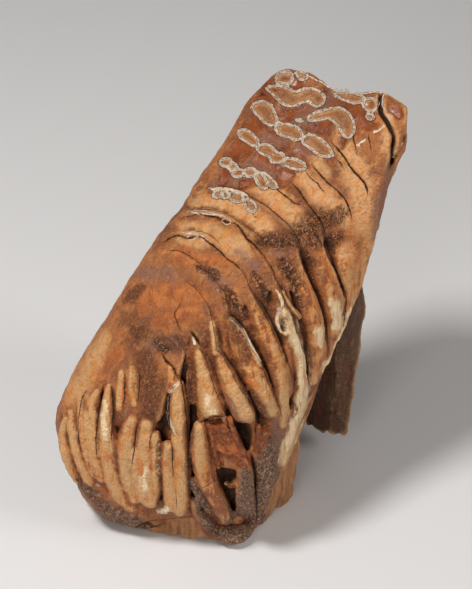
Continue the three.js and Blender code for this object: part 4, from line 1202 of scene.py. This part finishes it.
    rough = f.most(coarse, dark)
    gloss = around(fine, 0.4) + 0.45 - polish * 0.12 - resin * 0.3 - fingers * 0.08
    waves = fine + (mid * 1.2 + streak * 0.9)
    relief = (around(worm, 2.0) - groove) * rough + waves * (1.0 - polish * 0.9) - crack
    f.put(f.shader.inputs["Specular IOR Level"], 0.4)
    return f.finish(colour, gloss + rough * 0.35, relief, height=1.1)


def enamel_material():
    f = Finish("enamel")
    fine, speck = f.noise(1.2, detail=4), f.noise(0.6)
    colour = f.blend(f.between(fine, 0.5, 0.68) * 0.8, "enamel", "mauve")
    colour = f.blend(f.between(speck, 0.58, 0.7) * 0.5, colour, "grain")
    return f.finish(colour, 0.36, fine, height=0.3)


# ---------------------------------------------------------------- enamel, by geometry nodes
def on_skin_path(field, pixels, closed, wander, shift):
    """Places along the skin under a smoothed line of pixels, shifted sideways and a little uneven."""
    line = eased(pixels, closed, times=2)
    ring = np.concatenate([line, line[:1]]) if closed else line
    lengths = np.append(0, np.cumsum(np.hypot(*np.diff(ring, axis=0).T)))
    at = np.linspace(0, lengths[-1], max(6, int(lengths[-1] / 1.3)), endpoint=not closed)
    places = np.stack([np.interp(at, lengths, way) for way in ring.T], axis=1)
    run = unit(np.roll(places, -1, 0) - np.roll(places, 1, 0) if closed else np.gradient(places, axis=0))
    flat = np.column_stack([places, np.full(len(places), 9 * shift)])
    places += wander * np.stack([lumps(flat, 3.1), lumps(flat + 40, 3.1)], axis=1)
    places += shift * run[:, ::-1] * (1, -1)
    points, outward = field.seen(places)
    held = np.linalg.norm(points - np.median(points, axis=0), axis=1) < 50     # leaves out what misses it
    return (points + 0.1 * outward)[held]


def ridge_tree(material):
    """Sweeps a wavy round bead along each line of a mesh, as thick as the line's half_width."""
    tree = bpy.data.node_groups.new("enamel_ridges", "GeometryNodeTree")
    tree.interface.new_socket("Lines", in_out="INPUT", socket_type="NodeSocketGeometry")
    for name, value in (("Crinkle", 0.3 * MM), ("Spacing", 0.45 * MM)):
        tree.interface.new_socket(name, in_out="INPUT", socket_type="NodeSocketFloat").default_value = value
    tree.interface.new_socket("Ridges", in_out="OUTPUT", socket_type="NodeSocketGeometry")
    g = Nodes(tree)
    lines, crinkle, spacing = [g.add("NodeGroupInput", out=name) for name in ("Lines", "Crinkle", "Spacing")]
    cloud, tint = [g.add("ShaderNodeTexNoise", {"Scale": 1 / (1.3 * MM), "Detail": 2}, out=out)
                   for out in (0, "Color")]
    curve = g.add("GeometryNodeMeshToCurve", {0: lines})
    curve = g.add("GeometryNodeResampleCurve", {0: curve, "Length": spacing}, mode="LENGTH")
    wave = g.add("ShaderNodeVectorMath", {0: tint, 1: (0.5, 0.5, 0.5)}, operation="SUBTRACT")
    wave = g.add("ShaderNodeVectorMath", {0: wave, "Scale": crinkle}, operation="SCALE")
    curve = g.add("GeometryNodeSetPosition", {"Geometry": curve, "Offset": wave})
    width = g.add("GeometryNodeInputNamedAttribute", {"Name": "half_width"}, data_type="FLOAT")
    width = width * g.add("ShaderNodeMapRange", {"Value": cloud, "To Min": 0.55, "To Max": 1.45})
    ring = g.add("GeometryNodeCurvePrimitiveCircle", {"Resolution": 7, "Radius": 1.0})
    bead = g.add("GeometryNodeCurveToMesh", {"Curve": curve, "Profile Curve": ring, "Scale": width,
                                             "Fill Caps": True})
    bead = g.add("GeometryNodeSetShadeSmooth", {"Geometry": bead})
    bead = g.add("GeometryNodeRealizeInstances", {0: bead})
    bead = g.add("GeometryNodeSetMaterial", {"Geometry": bead, "Material": material})
    g.put(tree.nodes.new("NodeGroupOutput").inputs[0], bead)
    return tree


def build_enamel(field, material):
    """Two thin ridges along each enamel loop, and one along each rim."""
    lines = [(LOOP_RIDGE, loop, True, side * LOOP_HALF) for loop in LOOPS.values() for side in (-1, 1)]
    lines += [(half, rim, False, 0) for half, rim in RIMS.values()]
    points, edges, widths = [], [], []
    for half, pixels, closed, shift in lines:
        path = on_skin_path(field, pixels, closed, 0.7, shift)
        first = len(points)
        points.extend(path)
        widths.extend([half * MM] * len(path))
        edges.extend((first + i, first + i + 1) for i in range(len(path) - 1))
        if closed:
            edges.append((first + len(path) - 1, first))
    mesh = bpy.data.meshes.new("enamel_lines")
    mesh.from_pydata(((np.array(points) + FRAME_SHIFT) * MM).tolist(), edges, [])
    made = linked("enamel_ridges", mesh)
    mark(made, "half_width", widths)
    sweep = made.modifiers.new("sweep", "NODES")
    sweep.node_group = ridge_tree(material)
    names = {item.name: item.identifier for item in sweep.node_group.interface.items_tree}
    sweep[names["Crinkle"]] = 0.35 * MM
    apply_modifiers(made)
    return made


# ---------------------------------------------------------------- floor, light, camera
def pale_floor():
    bpy.ops.mesh.primitive_plane_add(size=6)
    made = bpy.context.object
    made.name = "floor"
    pale = bpy.data.materials.new("pale_floor")
    pale.use_nodes = True
    shader = pale.node_tree.nodes["Principled BSDF"]
    shader.inputs["Base Color"].default_value = (0.72, 0.72, 0.73, 1)
    shader.inputs["Roughness"].default_value = 0.55
    made.data.materials.append(pale)
    return made


def studio():
    world = bpy.data.worlds.new("studio")
    bpy.context.scene.world = world
    world.use_nodes = True
    world.node_tree.nodes["Background"].inputs["Color"].default_value = (1, 0.96, 0.92, 1)
    world.node_tree.nodes["Background"].inputs["Strength"].default_value = 0.12


def place_facing(made, place, right, up):
    """Puts a lamp or the camera at a place in m. It looks away from right x up."""
    turn = Matrix(np.stack([right, up, np.cross(right, up)], axis=1).tolist())
    made.matrix_world = Matrix.Translation(place.tolist()) @ turn.to_4x4()


def softbox(name, side, above, toward, size, watts, colour):
    """A round lamp aimed at the tooth, so many m to the right, above the floor and away from the camera."""
    light = bpy.data.lights.new(name, "AREA")
    light.shape = "DISK"
    light.size, light.energy, light.color = size, watts, colour
    place = side * EYE.right + toward * EYE.level + (0, 0, above)
    back = place - (0, 0, 0.1)
    back /= np.linalg.norm(back)
    across = np.cross([0, 0, 1], back)
    across /= np.linalg.norm(across)
    place_facing(linked(name, light), place, across, np.cross(back, across))


def camera():
    data = bpy.data.cameras.new("camera")
    data.sensor_width = 36
    data.lens = FOCAL_PIXELS * data.sensor_width / max(PICTURE)
    data.clip_start, data.clip_end = 0.05, 20
    made = linked("camera", data)
    place_facing(made, (EYE.place + FRAME_SHIFT) * MM, EYE.right, EYE.up)
    bpy.context.scene.camera = made


tooth, tooth_shape = build_tooth()
fossil = fossil_material()
for piece in tooth:
    piece.data.materials.append(fossil)
enamel = build_enamel(tooth_shape, enamel_material())
for piece in (*tooth, enamel):
    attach(piece, "root")
    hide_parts("molar")
floor = pale_floor()
studio()
softbox("key", side=-0.45, above=1.05, toward=-0.2, size=0.24, watts=9.7, colour=(1, 0.98, 0.95))
softbox("fill", side=1.0, above=0.7, toward=-0.35, size=0.5, watts=5.0, colour=(1, 0.95, 0.9))
softbox("front", side=-0.35, above=0.5, toward=-1.0, size=0.5, watts=3.8, colour=(1, 0.98, 0.95))
camera()
bpy.context.scene.view_settings.view_transform = "Standard"
